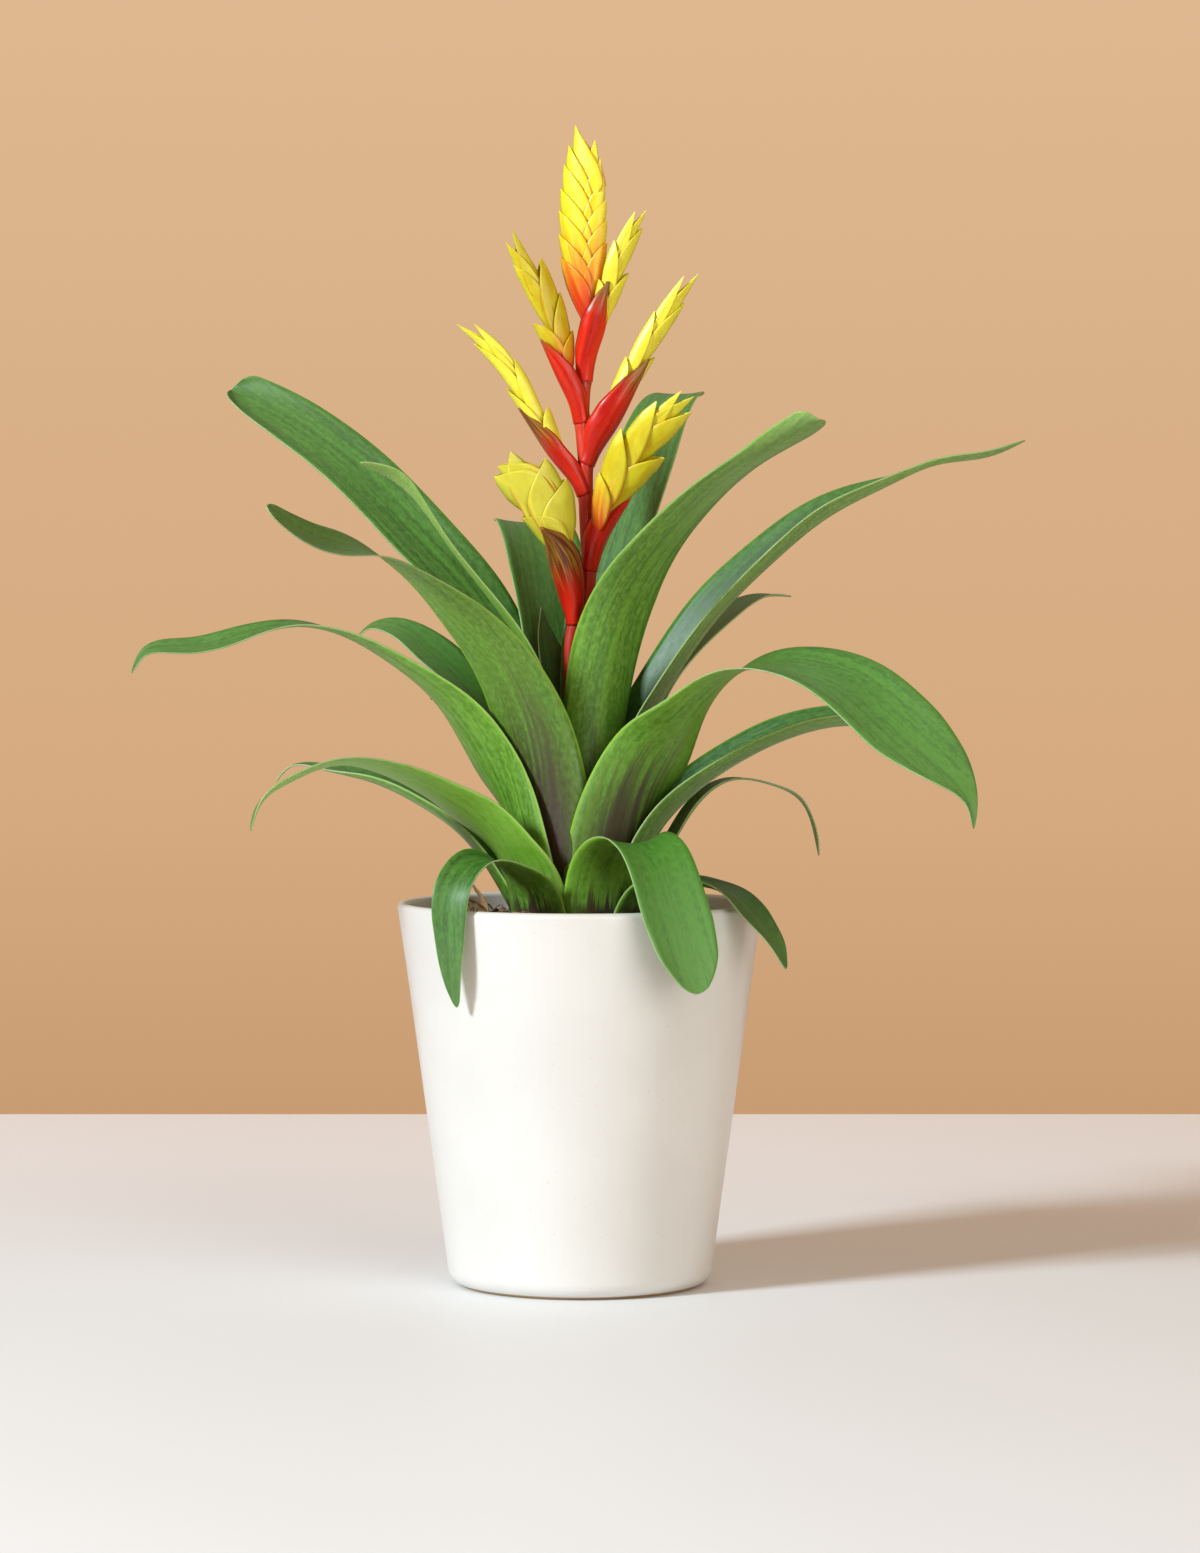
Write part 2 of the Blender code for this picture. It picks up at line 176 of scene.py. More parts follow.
# colour, roughness and height of a strap leaf, from its base (share 0) to its tip (share 1)
tree, take, give = newGroup(
    "leafSkin",
    [("Deep", "Color", (0.02, 0.09, 0.01)), ("Light", "Color", (0.1, 0.25, 0.04)),
     ("Frost", "Color", (0.4, 0.48, 0.36)), ("Frost Amount", "Float", 0.2),
     ("Stain", "Color", (0.1, 0.05, 0.045)), ("Stain Reach", "Float", 0.3),
     ("Flecks", "Float", 0.3), ("Gloss", "Float", 0.35)],
    [("Color", "Color"), ("Roughness", "Float"), ("Height", "Float")],
)
fibre = useGroup(tree, plantFibre, {"Mottle Scale": 8.0})
part = placeOf(tree)  # share, nearness to the edge, tone, stain
tree.links.new(take["Flecks"], fibre[0].node.inputs["Fleck Share"])
blend = sums(tree, "MULTIPLY", fibre["Mottle"], 0.6)
blend = sums(tree, "ADD", blend, sums(tree, "MULTIPLY", fibre["Streaks"], 0.8))
blend = nudged(tree, blend, part[2], 0.45)
colour = mixed(tree, ranged(tree, blend, 0.42, 0.98), take["Deep"], take["Light"])
warm = mixed(tree, 1.0, colour, (1.5, 1.12, 0.75), "MULTIPLY")
colour = mixed(tree, ranged(tree, part[0], 0.6, 1.0, 0.0, 0.2), colour, warm)
shade = mixed(tree, 1.0, colour, (0.68, 0.76, 0.5), "MULTIPLY")  # darker and yellower near the foot
colour = mixed(tree, ranged(tree, part[0], 0.45, 0.1, 0.0, 0.8), colour, shade)
rib = ranged(tree, part[1], 0.0, 0.16, 0.22, 0.0)
colour = mixed(tree, rib, colour, take["Light"])
bloom = sums(tree, "ADD", ranged(tree, fibre["Mottle"], 0.38, 0.72), sums(tree, "MULTIPLY", fibre["Fine"], 0.5))
cover = sums(tree, "MULTIPLY", bloom, take["Frost Amount"])
cover = sums(tree, "ADD", cover, ranged(tree, part[0], 0.35, 1.0, 0.0, 0.32))  # paler towards the tip
colour = mixed(tree, cover, colour, take["Frost"])
spots = mixed(tree, 1.0, colour, (0.55, 0.62, 0.5), "MULTIPLY")
colour = mixed(tree, sums(tree, "MULTIPLY", fibre["Flecks"], take["Flecks"]), colour, spots)
reach = nudged(tree, sums(tree, "MULTIPLY", take["Stain Reach"], part[3]), fibre["Streaks"], 0.8)
reach = sums(tree, "MAXIMUM", reach, 0.05)
stain = ranged(tree, part[0], sums(tree, "MULTIPLY", reach, 0.3), reach, 0.93, 0.0)
stain = sums(tree, "MULTIPLY", stain, ranged(tree, part[1], 0.3, 1.0, 1.0, 0.3))  # strongest along the middle
colour = mixed(tree, stain, colour, take["Stain"])
edge = ranged(tree, part[1], 0.92, 1.0, 0.0, 0.6)
colour = mixed(tree, edge, colour, mixed(tree, 1.0, take["Light"], (1.8, 1.5, 1.6), "MULTIPLY"))
tree.links.new(colour, give["Color"])
rough = sums(tree, "ADD", take["Gloss"], sums(tree, "MULTIPLY", fibre["Mottle"], 0.22))
tree.links.new(sums(tree, "ADD", rough, sums(tree, "MULTIPLY", cover, 0.25)), give["Roughness"])
tree.links.new(sums(tree, "ADD", sums(tree, "MULTIPLY", fibre["Fine"], 0.5), fibre["Streaks"]), give["Height"])
leafSkin = tree
print("shared effects ready")


# ---- mesh helpers

def spline(points, share):  # a natural cubic through the points, by shares of its length
    p = np.array(points, float)
    step = np.linalg.norm(np.diff(p, axis=0), axis=1)
    at = np.concatenate([[0], np.cumsum(step)])
    count = len(p)
    rows = np.eye(count)
    right = np.zeros_like(p)
    for i in range(1, count - 1):
        rows[i, i - 1 : i + 2] = step[i - 1], 2 * (step[i - 1] + step[i]), step[i]
        right[i] = 6 * ((p[i + 1] - p[i]) / step[i] - (p[i] - p[i - 1]) / step[i - 1])
    bend = np.linalg.solve(rows, right)
    s = np.asarray(share, float) * at[-1]
    k = np.clip(np.searchsorted(at, s, side="right") - 1, 0, count - 2)
    h = step[k][:, None]
    u = (at[k + 1] - s)[:, None]
    v = (s - at[k])[:, None]
    curve = (bend[k] * u**3 + bend[k + 1] * v**3) / (6 * h)
    return curve + (p[k] / h - bend[k] * h / 6) * u + (p[k + 1] / h - bend[k + 1] * h / 6) * v


def ease(x):
    x = np.clip(x, 0, 1)
    return x * x * (3 - 2 * x)


def unit(v):
    return v / np.linalg.norm(v, axis=-1, keepdims=True)


def gridFaces(rows, columns, first=0, ring=False):
    faces = []
    for r in range(rows - 1):
        for c in range(columns if ring else columns - 1):
            n = (c + 1) % columns
            faces.append((first + r * columns + c, first + (r + 1) * columns + c,
                          first + (r + 1) * columns + n, first + r * columns + n))
    return faces


def crowded(rows, power):  # shares of a length, closer together towards the tip
    return 1 - (1 - np.linspace(0, 1, rows)) ** power


def marks(share, across, tone, fourth=1.0):  # the values that a sheet stores at its points
    place = np.zeros((len(share), len(across), 4))
    place[..., 0] = share[:, None]
    place[..., 1] = np.abs(across)[None, :]
    place[..., 2] = tone
    place[..., 3] = fourth
    return place.reshape(-1, 4)


def addPiece(name, points, faces, materials, uv=None, place=None, smooth=True):
    mesh = bpy.data.meshes.new(name)
    mesh.from_pydata((np.asarray(points) * mm).tolist(), [], faces)
    for mat in materials:
        mesh.materials.append(mat)
    corners = np.empty(len(mesh.loops), int)
    mesh.loops.foreach_get("vertex_index", corners)
    if uv is not None:
        layer = mesh.uv_layers.new(name="grid")
        layer.data.foreach_set("uv", np.asarray(uv, float)[corners].ravel())
    if place is not None:
        mark = mesh.color_attributes.new(name="place", type="FLOAT_COLOR", domain="POINT")
        mark.data.foreach_set("color", np.asarray(place, float).ravel())
    if smooth:
        mesh.shade_smooth()
    mesh.validate()
    piece = bpy.data.objects.new(name, mesh)
    scene.collection.objects.link(piece)
    return piece


def seat(piece, slot, *nodes):  # every piece rides on the one body
    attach(piece, "root")
    if nodes:
        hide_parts(*nodes)


def thicken(piece, thickness, shell=0, rim=0):
    solid = piece.modifiers.new("thickness", "SOLIDIFY")
    solid.thickness = thickness * mm
    solid.offset = 0
    solid.material_offset = shell
    solid.material_offset_rim = rim


# ---- pot

pot = {
    "footRadius": 50, "wall": 4, "floor": 8, "floorRound": 3, "footRound": 7, "footRing": 1.1,
    "footSweep": 1.16,  # radians of the foot's round before the unglazed ring
    "turns": 176, "lipSteps": 16, "footSteps": 12,
    "glaze": (0.68, 0.66, 0.63), "pit": (0.45, 0.36, 0.26), "clay": (0.30, 0.20, 0.11),
}

glaze, tree, shader = newMaterial("glaze", Coat_Weight=0.25, Coat_Roughness=0.2)
body = bodySpace(tree)
broad = cloud(tree, body, 22, 3, 0.5)
colour = mixed(tree, ranged(tree, broad, 0.35, 0.7), pot["glaze"], tuple(c * 0.955 for c in pot["glaze"]))
pits = cloud(tree, body, 900, 1, 0.4)
colour = mixed(tree, ranged(tree, pits, 0.72, 0.8, 0, 0.35), colour, pot["pit"])
skin = cloud(tree, body, 240, 3, 0.6)
height = sums(tree, "ADD", sums(tree, "MULTIPLY", broad, 3.0), sums(tree, "MULTIPLY", skin, 0.25))
finishSurface(tree, shader, colour, ranged(tree, skin, 0.3, 0.7, 0.30, 0.42), height, 0.25, 0.0004)

clay, tree, shader = newMaterial("footClay")
body = bodySpace(tree)
grain = cloud(tree, body, 700, 4, 0.6)
colour = mixed(tree, grain, pot["clay"], tuple(c * 1.8 for c in pot["clay"]))
finishSurface(tree, shader, colour, ranged(tree, grain, 0.3, 0.7, 0.7, 0.9), grain, 0.5, 0.0003)


def outerRadius(z):
    return pot["footRadius"] + (potRim - pot["footRadius"]) * z / potHeight


def turned(name, profile, turns, materials):  # rings from (radius, height); ends on the axis close
    rings = [p for p in profile if p[0] > 1e-6]
    angles = np.linspace(0, 2 * pi, turns, endpoint=False)
    points = [(r * cos(a), r * sin(a), z) for r, z in rings for a in angles]
    faces = [f[::-1] for f in gridFaces(len(rings), turns, ring=True)]
    for z, row, flip in ((profile[0][1], 0, False), (profile[-1][1], len(rings) - 1, True)):
        points.append((0, 0, z))
        tip = len(points) - 1
        for c in range(turns):
            a, b = row * turns + c, row * turns + (c + 1) % turns
            faces.append((tip, b, a) if flip else (tip, a, b))
    return addPiece(name, points, faces, materials)


wall, ring = pot["wall"], pot["footRing"]
floorRadius = outerRadius(pot["floor"]) - wall
corner = pot["floorRound"]
profile = [(0, pot["floor"]), (floorRadius - corner, pot["floor"]),
           (floorRadius - 0.3 * corner, pot["floor"] + 0.3 * corner), (floorRadius, pot["floor"] + corner)]
profile += [(outerRadius(z) - wall, z) for z in (60, 110, 130)]  # up the inside
for i in range(pot["lipSteps"] + 1):  # rounded lip
    a = pi - pi * i / pot["lipSteps"]
    profile.append((potRim - wall / 2 + wall / 2 * cos(a), potHeight - wall / 2 + wall / 2 * sin(a)))
profile += [(outerRadius(z), z) for z in (120, 90, 60, 30)]  # down the outside
arcRadius = outerRadius(pot["footRound"]) - pot["footRound"]
for i in range(pot["footSteps"] + 1):  # rounded foot, down to the unglazed ring
    a = pi / 2 - pot["footSweep"] * i / pot["footSteps"]
    profile.append((arcRadius + pot["footRound"] * sin(a), pot["footRound"] * (1 - cos(a))))
footEdge = profile[-1][0]
profile += [(footEdge - 0.35, ring), (footEdge - 0.5, 0.35), (footEdge - 0.9, 0), (footEdge - 5.5, 0),
            (footEdge - 6.2, 0.4), (footEdge - 6.8, 1.6), (footEdge - 9, 2.2), (0, 2.4)]
potPiece = turned("glazedPot", profile, pot["turns"], [glaze, clay])
for face in potPiece.data.polygons:
    if face.center.z < (ring + 0.02) * mm and face.center.xy.length > (footEdge - 6.5) * mm:
        face.material_index = 1
seat(potPiece, "glaze", "pot")
print("pot done")

# ---- soil, bark, perlite and fibres

soil = {
    "edgeDrop": 8, "crown": 34, "gap": 0.6, "turns": 150, "lumps": 1.6,
    "chips": 190, "grains": 34, "fibres": 26, "seed": 11,
    "dark": (0.016, 0.010, 0.007), "brown": (0.075, 0.043, 0.024),
    "barkDeep": ((0.035, 0.02, 0.012), (0.20, 0.115, 0.06)),  # darkest chip, palest chip
    "barkPale": ((0.09, 0.05, 0.028), (0.36, 0.24, 0.14)),
    "perlite": ((0.42, 0.38, 0.32), (0.80, 0.78, 0.72)),
}

earth, tree, shader = newMaterial("earth", Specular_IOR_Level=0.3)
body = bodySpace(tree)
crumb = cloud(tree, body, 420, 6, 0.7)
colour = mixed(tree, ranged(tree, crumb, 0.42, 0.68), soil["dark"], soil["brown"])
finishSurface(tree, shader, colour, ranged(tree, crumb, 0.3, 0.7, 0.8, 0.98), crumb, 0.9, 0.0015)

bark, tree, shader = newMaterial("bark", Specular_IOR_Level=0.3)
body = bodySpace(tree)
mark = placeOf(tree)[2]
rings = cloud(tree, scaled(tree, body, (1, 1, 3.5)), 330, 5, 0.65)
first = mixed(tree, mark, *soil["barkDeep"])
second = mixed(tree, mark, *soil["barkPale"])
colour = mixed(tree, ranged(tree, rings, 0.38, 0.66), first, second)
finishSurface(tree, shader, colour, ranged(tree, rings, 0.3, 0.7, 0.7, 0.95), rings, 0.8, 0.0008)

perlite, tree, shader = newMaterial("perlite", Specular_IOR_Level=0.3)
body = bodySpace(tree)
pores = cloud(tree, body, 1500, 3, 0.6)
colour = mixed(tree, pores, *soil["perlite"])
finishSurface(tree, shader, colour, ranged(tree, pores, 0.3, 0.7, 0.75, 0.95), pores, 0.8, 0.0004)

soilEdge = soilTop - soil["edgeDrop"]
soilRadius = outerRadius(soilEdge) - wall - soil["gap"]


def soilHeight(r):
    return float(np.interp(r, (soil["crown"], (soilRadius + soil["crown"]) / 2, soilRadius),
                           (soilTop, soilTop - soil["edgeDrop"] * 0.4, soilEdge)))


profile = [(0, soilTop - 1.0)] + [(r, soilHeight(r) - 1.0) for r in np.linspace(1.5, soilRadius, 34)]
profile += [(floorRadius - 1.2, pot["floor"] + 4), (floorRadius - 4.5, pot["floor"] + 1), (0, pot["floor"] + 1)]
soilPiece = turned("soilBed", profile[::-1], soil["turns"], [earth])
for vert in soilPiece.data.vertices:
    r = vert.co.xy.length / mm
    if vert.co.z > (soilEdge - 3) * mm and r < soilRadius - 0.5:
        lump = noise.noise(vert.co * 160) + 0.6 * noise.noise(vert.co * 420)
        vert.co.z += lump * soil["lumps"] * mm * min(1, (soilRadius - r) / 3)
seat(soilPiece, "soil", "soil")

draw = random.Random(soil["seed"])


def scatter(name, count, size, mat, low, high, sink):  # small hulls of random points over the soil
    points, faces, tones = [], [], []
    for _ in range(count):
        angle = draw.uniform(0, 2 * pi)
        r = draw.uniform(low**2, high**2) ** 0.5
        long = draw.uniform(*size)
        box = Vector((long, long * draw.uniform(0.45, 0.8), long * draw.uniform(0.25, 0.5)))
        turn = Euler((draw.uniform(-0.6, 0.6), draw.uniform(-0.6, 0.6), draw.uniform(0, 6.3))).to_matrix()
        form = bmesh.new()
        for _ in range(15):
            at = Vector([draw.gauss(0, 1) for _ in range(3)]).normalized() * draw.uniform(0.75, 1)
            form.verts.new(turn @ Vector([a * b / 2 for a, b in zip(at, box)]))
        hull = bmesh.ops.convex_hull(form, input=form.verts)
        bmesh.ops.delete(form, geom=[g for g in hull["geom_interior"] if isinstance(g, bmesh.types.BMVert)],
                         context="VERTS")
        form.verts.index_update()
        home = Vector((r * cos(angle), r * sin(angle), soilHeight(r) + sink * box.z))
        first = len(points)
        points += [tuple(v.co + home) for v in form.verts]
        faces += [tuple(first + v.index for v in f.verts) for f in form.faces]
        tones += [draw.random() ** 1.6] * len(form.verts)
        form.free()
    place = [(0, 0, t, 1) for t in tones]
    seat(addPiece(name, points, faces, [mat], place=place, smooth=False), "soil")


scatter("barkChips", soil["chips"], (4, 11), bark, 26, soilRadius - 4, 0.12)
scatter("perliteGrains", soil["grains"], (1.6, 3.2), perlite, 28, soilRadius - 2, 0.3)


def tube(path, radii, sides):  # rings round a path, and both ends drawn to a point
    path = np.asarray(path, float)
    ahead = unit(np.gradient(path, axis=0))
    across = unit(np.cross(ahead, (0.31, 0.95, 0.05)))
    up = np.cross(ahead, across)
    angles = np.linspace(0, 2 * pi, sides, endpoint=False)
    points = [c + r * (cos(a) * x + sin(a) * y) for c, r, x, y in zip(path, radii, across, up) for a in angles]
    faces = gridFaces(len(path), sides, ring=True)
    points += [path[0] - ahead[0] * radii[0] * 0.4, path[-1] + ahead[-1] * radii[-1] * 0.4]
    last = (len(path) - 1) * sides
    for c in range(sides):
        n = (c + 1) % sides
        faces += [(len(points) - 2, c, n), (len(points) - 1, last + n, last + c)]
    return points, faces


points, faces, tones = [], [], []
for _ in range(soil["fibres"]):
    angle, r, turn = draw.uniform(0, 2 * pi), draw.uniform(30, soilRadius - 8), draw.uniform(0, 2 * pi)
    long = draw.uniform(5, 13)
    base = Vector((r * cos(angle), r * sin(angle), soilHeight(r) + 0.8))
    bow = draw.uniform(0.5, 3.5)
    path = []
    for s in np.linspace(0, 1, 9):
        step = Vector((cos(turn + s), sin(turn + s), 0)) * long * s
        path.append(tuple(base + step + Vector((0, 0, bow * sin(pi * s)))))
    fresh, sides = tube(path, np.interp(np.linspace(0, 1, 9), [0, 0.5, 1], [0.3, 0.35, 0.12]), 5)
    faces += [tuple(len(points) + i for i in f) for f in sides]
    points += fresh
    tones += [draw.uniform(0.3, 1)] * len(fresh)
seat(addPiece("soilFibres", points, faces, [bark], place=[(0, 0, t, 1) for t in tones]), "soil")
print("soil done")

# ---- leaves

leafFinish = {
    "upper": {"Deep": (0.010, 0.068, 0.004), "Light": (0.058, 0.215, 0.016), "Frost": (0.14, 0.27, 0.08),
              "Frost Amount": 0.10, "Stain": (0.05, 0.035, 0.015), "Stain Reach": 0.12, "Flecks": 0.45,
              "Gloss": 0.38},
    "under": {"Deep": (0.050, 0.170, 0.005), "Light": (0.180, 0.410, 0.022), "Frost": (0.30, 0.42, 0.17),
              "Frost Amount": 0.15, "Stain": (0.040, 0.009, 0.014), "Stain Reach": 0.34, "Flecks": 0.25,
              "Gloss": 0.34},
}
leafCare = {
    "rows": 76, "columns": 14, "crowd": 1.2, "thickness": 0.5, "footGap": 0.65, "sink": 4,
    "ruffle": 0.45, "waves": (9, 17), "seed": 5, "rim": ((0.16, 0.26, 0.07), (0.42, 0.50, 0.28)),
}

leafMats = []
for side, finish in leafFinish.items():
    mat, tree, shader = newMaterial("leaf" + side.title(), Coat_Weight=0.05, Coat_Roughness=0.3)
    skin = useGroup(tree, leafSkin, finish)
    finishSurface(tree, shader, skin["Color"], skin["Roughness"], skin["Height"], 0.35, 0.00025)
    leafMats.append(mat)
leafRim, tree, shader = newMaterial("leafRim", Roughness=0.45)
fibre = useGroup(tree, plantFibre, {"Across": 6.0})
finishSurface(tree, shader, mixed(tree, fibre["Mottle"], *leafCare["rim"]))
leafMats.append(leafRim)
still = ((0, 0), (1, 0))  # keys of a blade with no roll, fold or drift


def keyed(share, keys, soften=7):  # values between the keys, with their corners rounded
    value = np.interp(share, *zip(*keys))
    for _ in range(soften):
        padded = np.concatenate([value[:1], value, value[-1:]])
        value = (padded[:-2] + 2 * padded[1:-1] + padded[2:]) / 4
    return value


# azimuth 0 faces the camera; the frame is the centre line with its sideways and inward directions
def spineFrame(spine, azimuth, share, roll=still, drift=still):
    az = radians(azimuth)

    def centre(s):
        rz = spline(spine, np.clip(s, 0, 1))
        off = np.interp(s, *zip(*drift))
        x = rz[:, 0] * sin(az) + off * cos(az)
        return rz[:, 0], np.stack([x, -rz[:, 0] * cos(az) + off * sin(az), rz[:, 1]], -1)

    radius, mid = centre(share)
    along = unit(centre(share + 1e-3)[1] - centre(share - 1e-3)[1])
    side = unit(np.array([cos(az), sin(az), 0]) + 0 * along)
    inner = unit(np.cross(along, side))
    turn = np.radians(keyed(share, roll))[:, None]
    return radius, mid, np.cos(turn) * side + np.sin(turn) * inner, np.cos(turn) * inner - np.sin(turn) * side


# cups are half angles in degrees; fold goes from 0, a round trough, to 1, a crease along the midrib
def bladePoints(spine, azimuth, widths, cups, roll, share, across, fold=still, drift=still):
    radius, mid, side, inner = spineFrame(spine, azimuth, share, roll, drift)
    half = keyed(share, widths) * np.sqrt(1 - 0.98 * np.clip((share - 0.975) / 0.025, 0, 1) ** 2)
    half = np.maximum(half, 0.12)
    cup = np.radians(keyed(share, cups))
    cup = np.maximum(cup, np.minimum(half / np.maximum(radius, 3), 1.35))[:, None]
    crease = keyed(share, fold)[:, None]
    bend = half[:, None] / cup
    angle = cup * across[None, :]
    sharp = 0.7 * cup
    sideways = (1 - crease) * bend * np.sin(angle) + crease * half[:, None] * across * np.cos(sharp)
    lift = (1 - crease) * bend * (1 - np.cos(angle)) + crease * half[:, None] * np.abs(across) * np.sin(sharp)
    return mid[:, None, :] + sideways[:, :, None] * side[:, None, :] + lift[:, :, None] * inner[:, None, :], inner


leafDraw = random.Random(leafCare["seed"])


def leaf(number, azimuth, base, spine, widths, cups=((0, 40), (0.3, 30), (1, 12)), roll=still,
         fold=still, drift=still, tone=0.5, stain=0.25):
    rows, columns = leafCare["rows"], leafCare["columns"]
    share = crowded(rows, leafCare["crowd"])
    across = np.linspace(-1, 1, columns + 1)
    path = [(base, soilTop + leafCare["footGap"])] + [(r, soilTop + z) for r, z in spine]
    points, inner = bladePoints(path, azimuth, widths, cups, roll, share, across, fold, drift)
    # a slow wave along both edges
    phase = [leafDraw.uniform(0, 6.3) for _ in range(4)]
    rise = ease((share - 0.2) / 0.2) * ease((1 - share) / 0.1)
    wave = np.zeros((rows, columns + 1))
    for i, f in enumerate(leafCare["waves"]):
        left = np.sin(f * share + phase[i]) * np.clip(-across[:, None], 0, 1) ** 2.5
        right = np.sin(f * share + phase[i + 2]) * np.clip(across[:, None], 0, 1) ** 2.5
        wave += (left + right).T / (i + 1)
    points = points + (wave * rise[:, None] * leafCare["ruffle"])[:, :, None] * inner[:, None, :]
    foot = points[:1] - np.array([0, 0, leafCare["sink"]])
    points = np.concatenate([foot, points])
    share = np.concatenate([[0], share])
    length = np.linalg.norm(np.diff(points[:, columns // 2], axis=0), axis=1)
    v = np.concatenate([[0], np.cumsum(length)]) / 10  # centimetres
    wide = np.linalg.norm(points[:, -1] - points[:, 0], axis=1) / 20
    uv = np.stack([across[None, :] * wide[:, None], v[:, None] + 0 * across[None, :]], -1).reshape(-1, 2)
    piece = addPiece(f"leafBlade{number:02d}", points.reshape(-1, 3), gridFaces(rows + 1, columns + 1),
                     leafMats, uv, marks(share, across, tone, stain))
    thicken(piece, leafCare["thickness"], 1, 2)
    seat(piece, "leaf", f"leaf_{number:02d}")


# number, azimuth, base radius, spine (radius, height over the soil), half widths by share of the length,
# and where they differ: cups, roll (degrees), fold, drift to the side
leaf(1, -40, 29, [(32, 10), (44, 20), (60, 23), (73, 13), (75, -4), (74, -18), (71, -31)],
     [(0, 15), (0.12, 14.5), (0.3, 9), (0.45, 7.5), (0.65, 7), (0.8, 5.2), (0.92, 3), (1, 0.8)],
     roll=[(0, 0), (0.4, -15), (0.6, -25), (1, -25)], tone=0.45)
leaf(2, 57, 28, [(33, 9), (50, 13), (69, 9.5), (79, 1), (87, -8), (92, -17)],
     [(0, 14), (0.15, 13), (0.4, 10), (0.7, 9.5), (0.88, 6), (1, 1)], tone=0.2)
leaf(3, 24, 26.3, [(32, 21), (46, 29), (64, 27), (75, 11), (82, -6), (89, -24)],
     [(0, 18), (0.15, 17), (0.35, 14), (0.75, 14), (0.88, 12), (0.95, 8), (1, 3)],
     roll=[(0, 0), (1, 5)], drift=[(0, 0), (0.45, 0), (1, 8)], tone=0.85)
leaf(4, -100, 26, [(33, 13), (45, 29), (63, 42), (83, 51), (100, 55), (114, 56), (120, 50)],
     [(0, 18), (0.2, 15), (0.45, 12), (0.7, 8), (0.88, 3), (0.94, 1.5), (1, 0.6)],
     cups=[(0, 45), (0.4, 50), (1, 40)], roll=[(0, 0), (1, -10)], tone=0.35)
leaf(5, 175, 26, [(31, 23), (52, 46), (80, 61), (108, 64), (130, 56)],
     [(0, 18), (0.2, 15), (0.6, 12), (0.85, 8), (1, 1)])
leaf(6, 108, 25, [(38, 28), (62, 51), (78, 49), (90, 43), (96, 31), (98, 21)],
     [(0, 9), (0.2, 7), (0.5, 5.5), (0.75, 3.2), (0.85, 1.6), (0.93, 2.2), (1, 0.3)], tone=0.4)
leaf(7, -66, 24, [(29, 18), (42, 35), (60, 47), (80, 56), (100, 59), (118, 53), (130, 45), (134, 35)],
     [(0, 25), (0.12, 23), (0.25, 16.5), (0.4, 12.5), (0.7, 10), (0.85, 7), (0.93, 5), (1, 1)],
     roll=[(0, 0), (0.18, 5), (0.3, 20), (0.45, 16), (0.65, 8), (0.85, 14), (1, 10)], tone=0.95)
leaf(8, -152, 23, [(31, 28), (52, 58), (80, 80), (106, 88), (130, 80)],
     [(0, 18), (0.2, 15), (0.6, 11.5), (0.85, 8), (1, 1)], tone=0.55)
leaf(9, 84, 23, [(27, 25), (39, 42), (60, 58), (83, 69), (104, 73), (125, 69), (140, 60), (147, 49)],
     [(0, 20), (0.2, 16), (0.45, 13), (0.7, 11), (0.9, 6), (1, 1)],
     cups=[(0, 45), (0.25, 55), (0.8, 50), (1, 25)], fold=[(0, 0), (0.3, 0.7), (0.8, 0.7), (1, 0.3)],
     roll=[(0, 0), (0.2, 8), (0.5, 14), (0.8, 8), (1, 0)], tone=0.35)
leaf(10, 163, 21.2, [(29, 30), (48, 60), (72, 76), (92, 78), (112, 66)],
     [(0, 18), (0.2, 15), (0.6, 11.5), (0.85, 8), (1, 1)])
leaf(11, -84, 21.2,
     [(25, 30), (34, 54), (48, 77), (69, 95), (88, 106), (109, 111), (130, 107), (151, 103), (166, 101), (171, 93)],
     [(0, 24), (0.12, 23), (0.25, 17), (0.4, 12.5), (0.55, 9), (0.66, 6), (0.8, 6.2), (0.92, 4.6), (0.97, 1.8),
      (1, 0.6)],
     roll=[(0, 0), (0.13, 0), (0.25, 30), (0.35, 32), (0.45, 16), (0.6, 6), (0.7, -12), (0.82, -34), (1, -30)],
     tone=0.55)
leaf(12, -112, 19.4, [(21, 30), (31, 63), (46, 86), (63, 101), (78, 110), (89, 110), (94, 106)],
     [(0, 18), (0.2, 15), (0.5, 12), (0.75, 10), (0.9, 5.5), (0.96, 2), (1, 0.8)],
     roll=[(0, 0), (0.5, -15), (0.75, -28), (1, -28)], tone=0.65)
leaf(13, 50, 19.2,
     [(23, 30), (33, 56), (53, 78), (78, 94), (104, 96), (131, 88), (155, 72), (175, 58), (184, 48), (185, 39)],
     [(0, 24), (0.12, 23), (0.24, 18), (0.38, 14.5), (0.55, 15), (0.7, 16.5), (0.82, 16), (0.9, 11), (0.94, 5),
      (0.965, 1.6), (1, 0.8)],
     roll=[(0, 0), (0.12, -12), (0.26, -34), (0.35, -2), (0.5, 12), (0.65, 21), (0.8, 32), (1, 25)],
     tone=0.7, stain=1.0)
leaf(14, -175, 18.5, [(23, 43), (37, 83), (60, 106), (86, 120), (112, 116)],
     [(0, 15), (0.2, 12), (0.6, 9), (0.85, 6), (1, 1)])
leaf(15, -48, 17.8,
     [(19.5, 33), (25, 68), (39, 94), (63, 117), (87, 132), (106, 139), (128, 143), (144, 150), (152, 155)],
     [(0, 23), (0.12, 22), (0.28, 17.5), (0.45, 13), (0.6, 8.5), (0.7, 6), (0.82, 7.6), (0.92, 6.5), (1, 2.6)],
     roll=[(0, 0), (0.12, 0), (0.3, 25), (0.55, 28), (0.72, -5), (0.85, -50), (1, -60)], tone=0.5, stain=1.5)
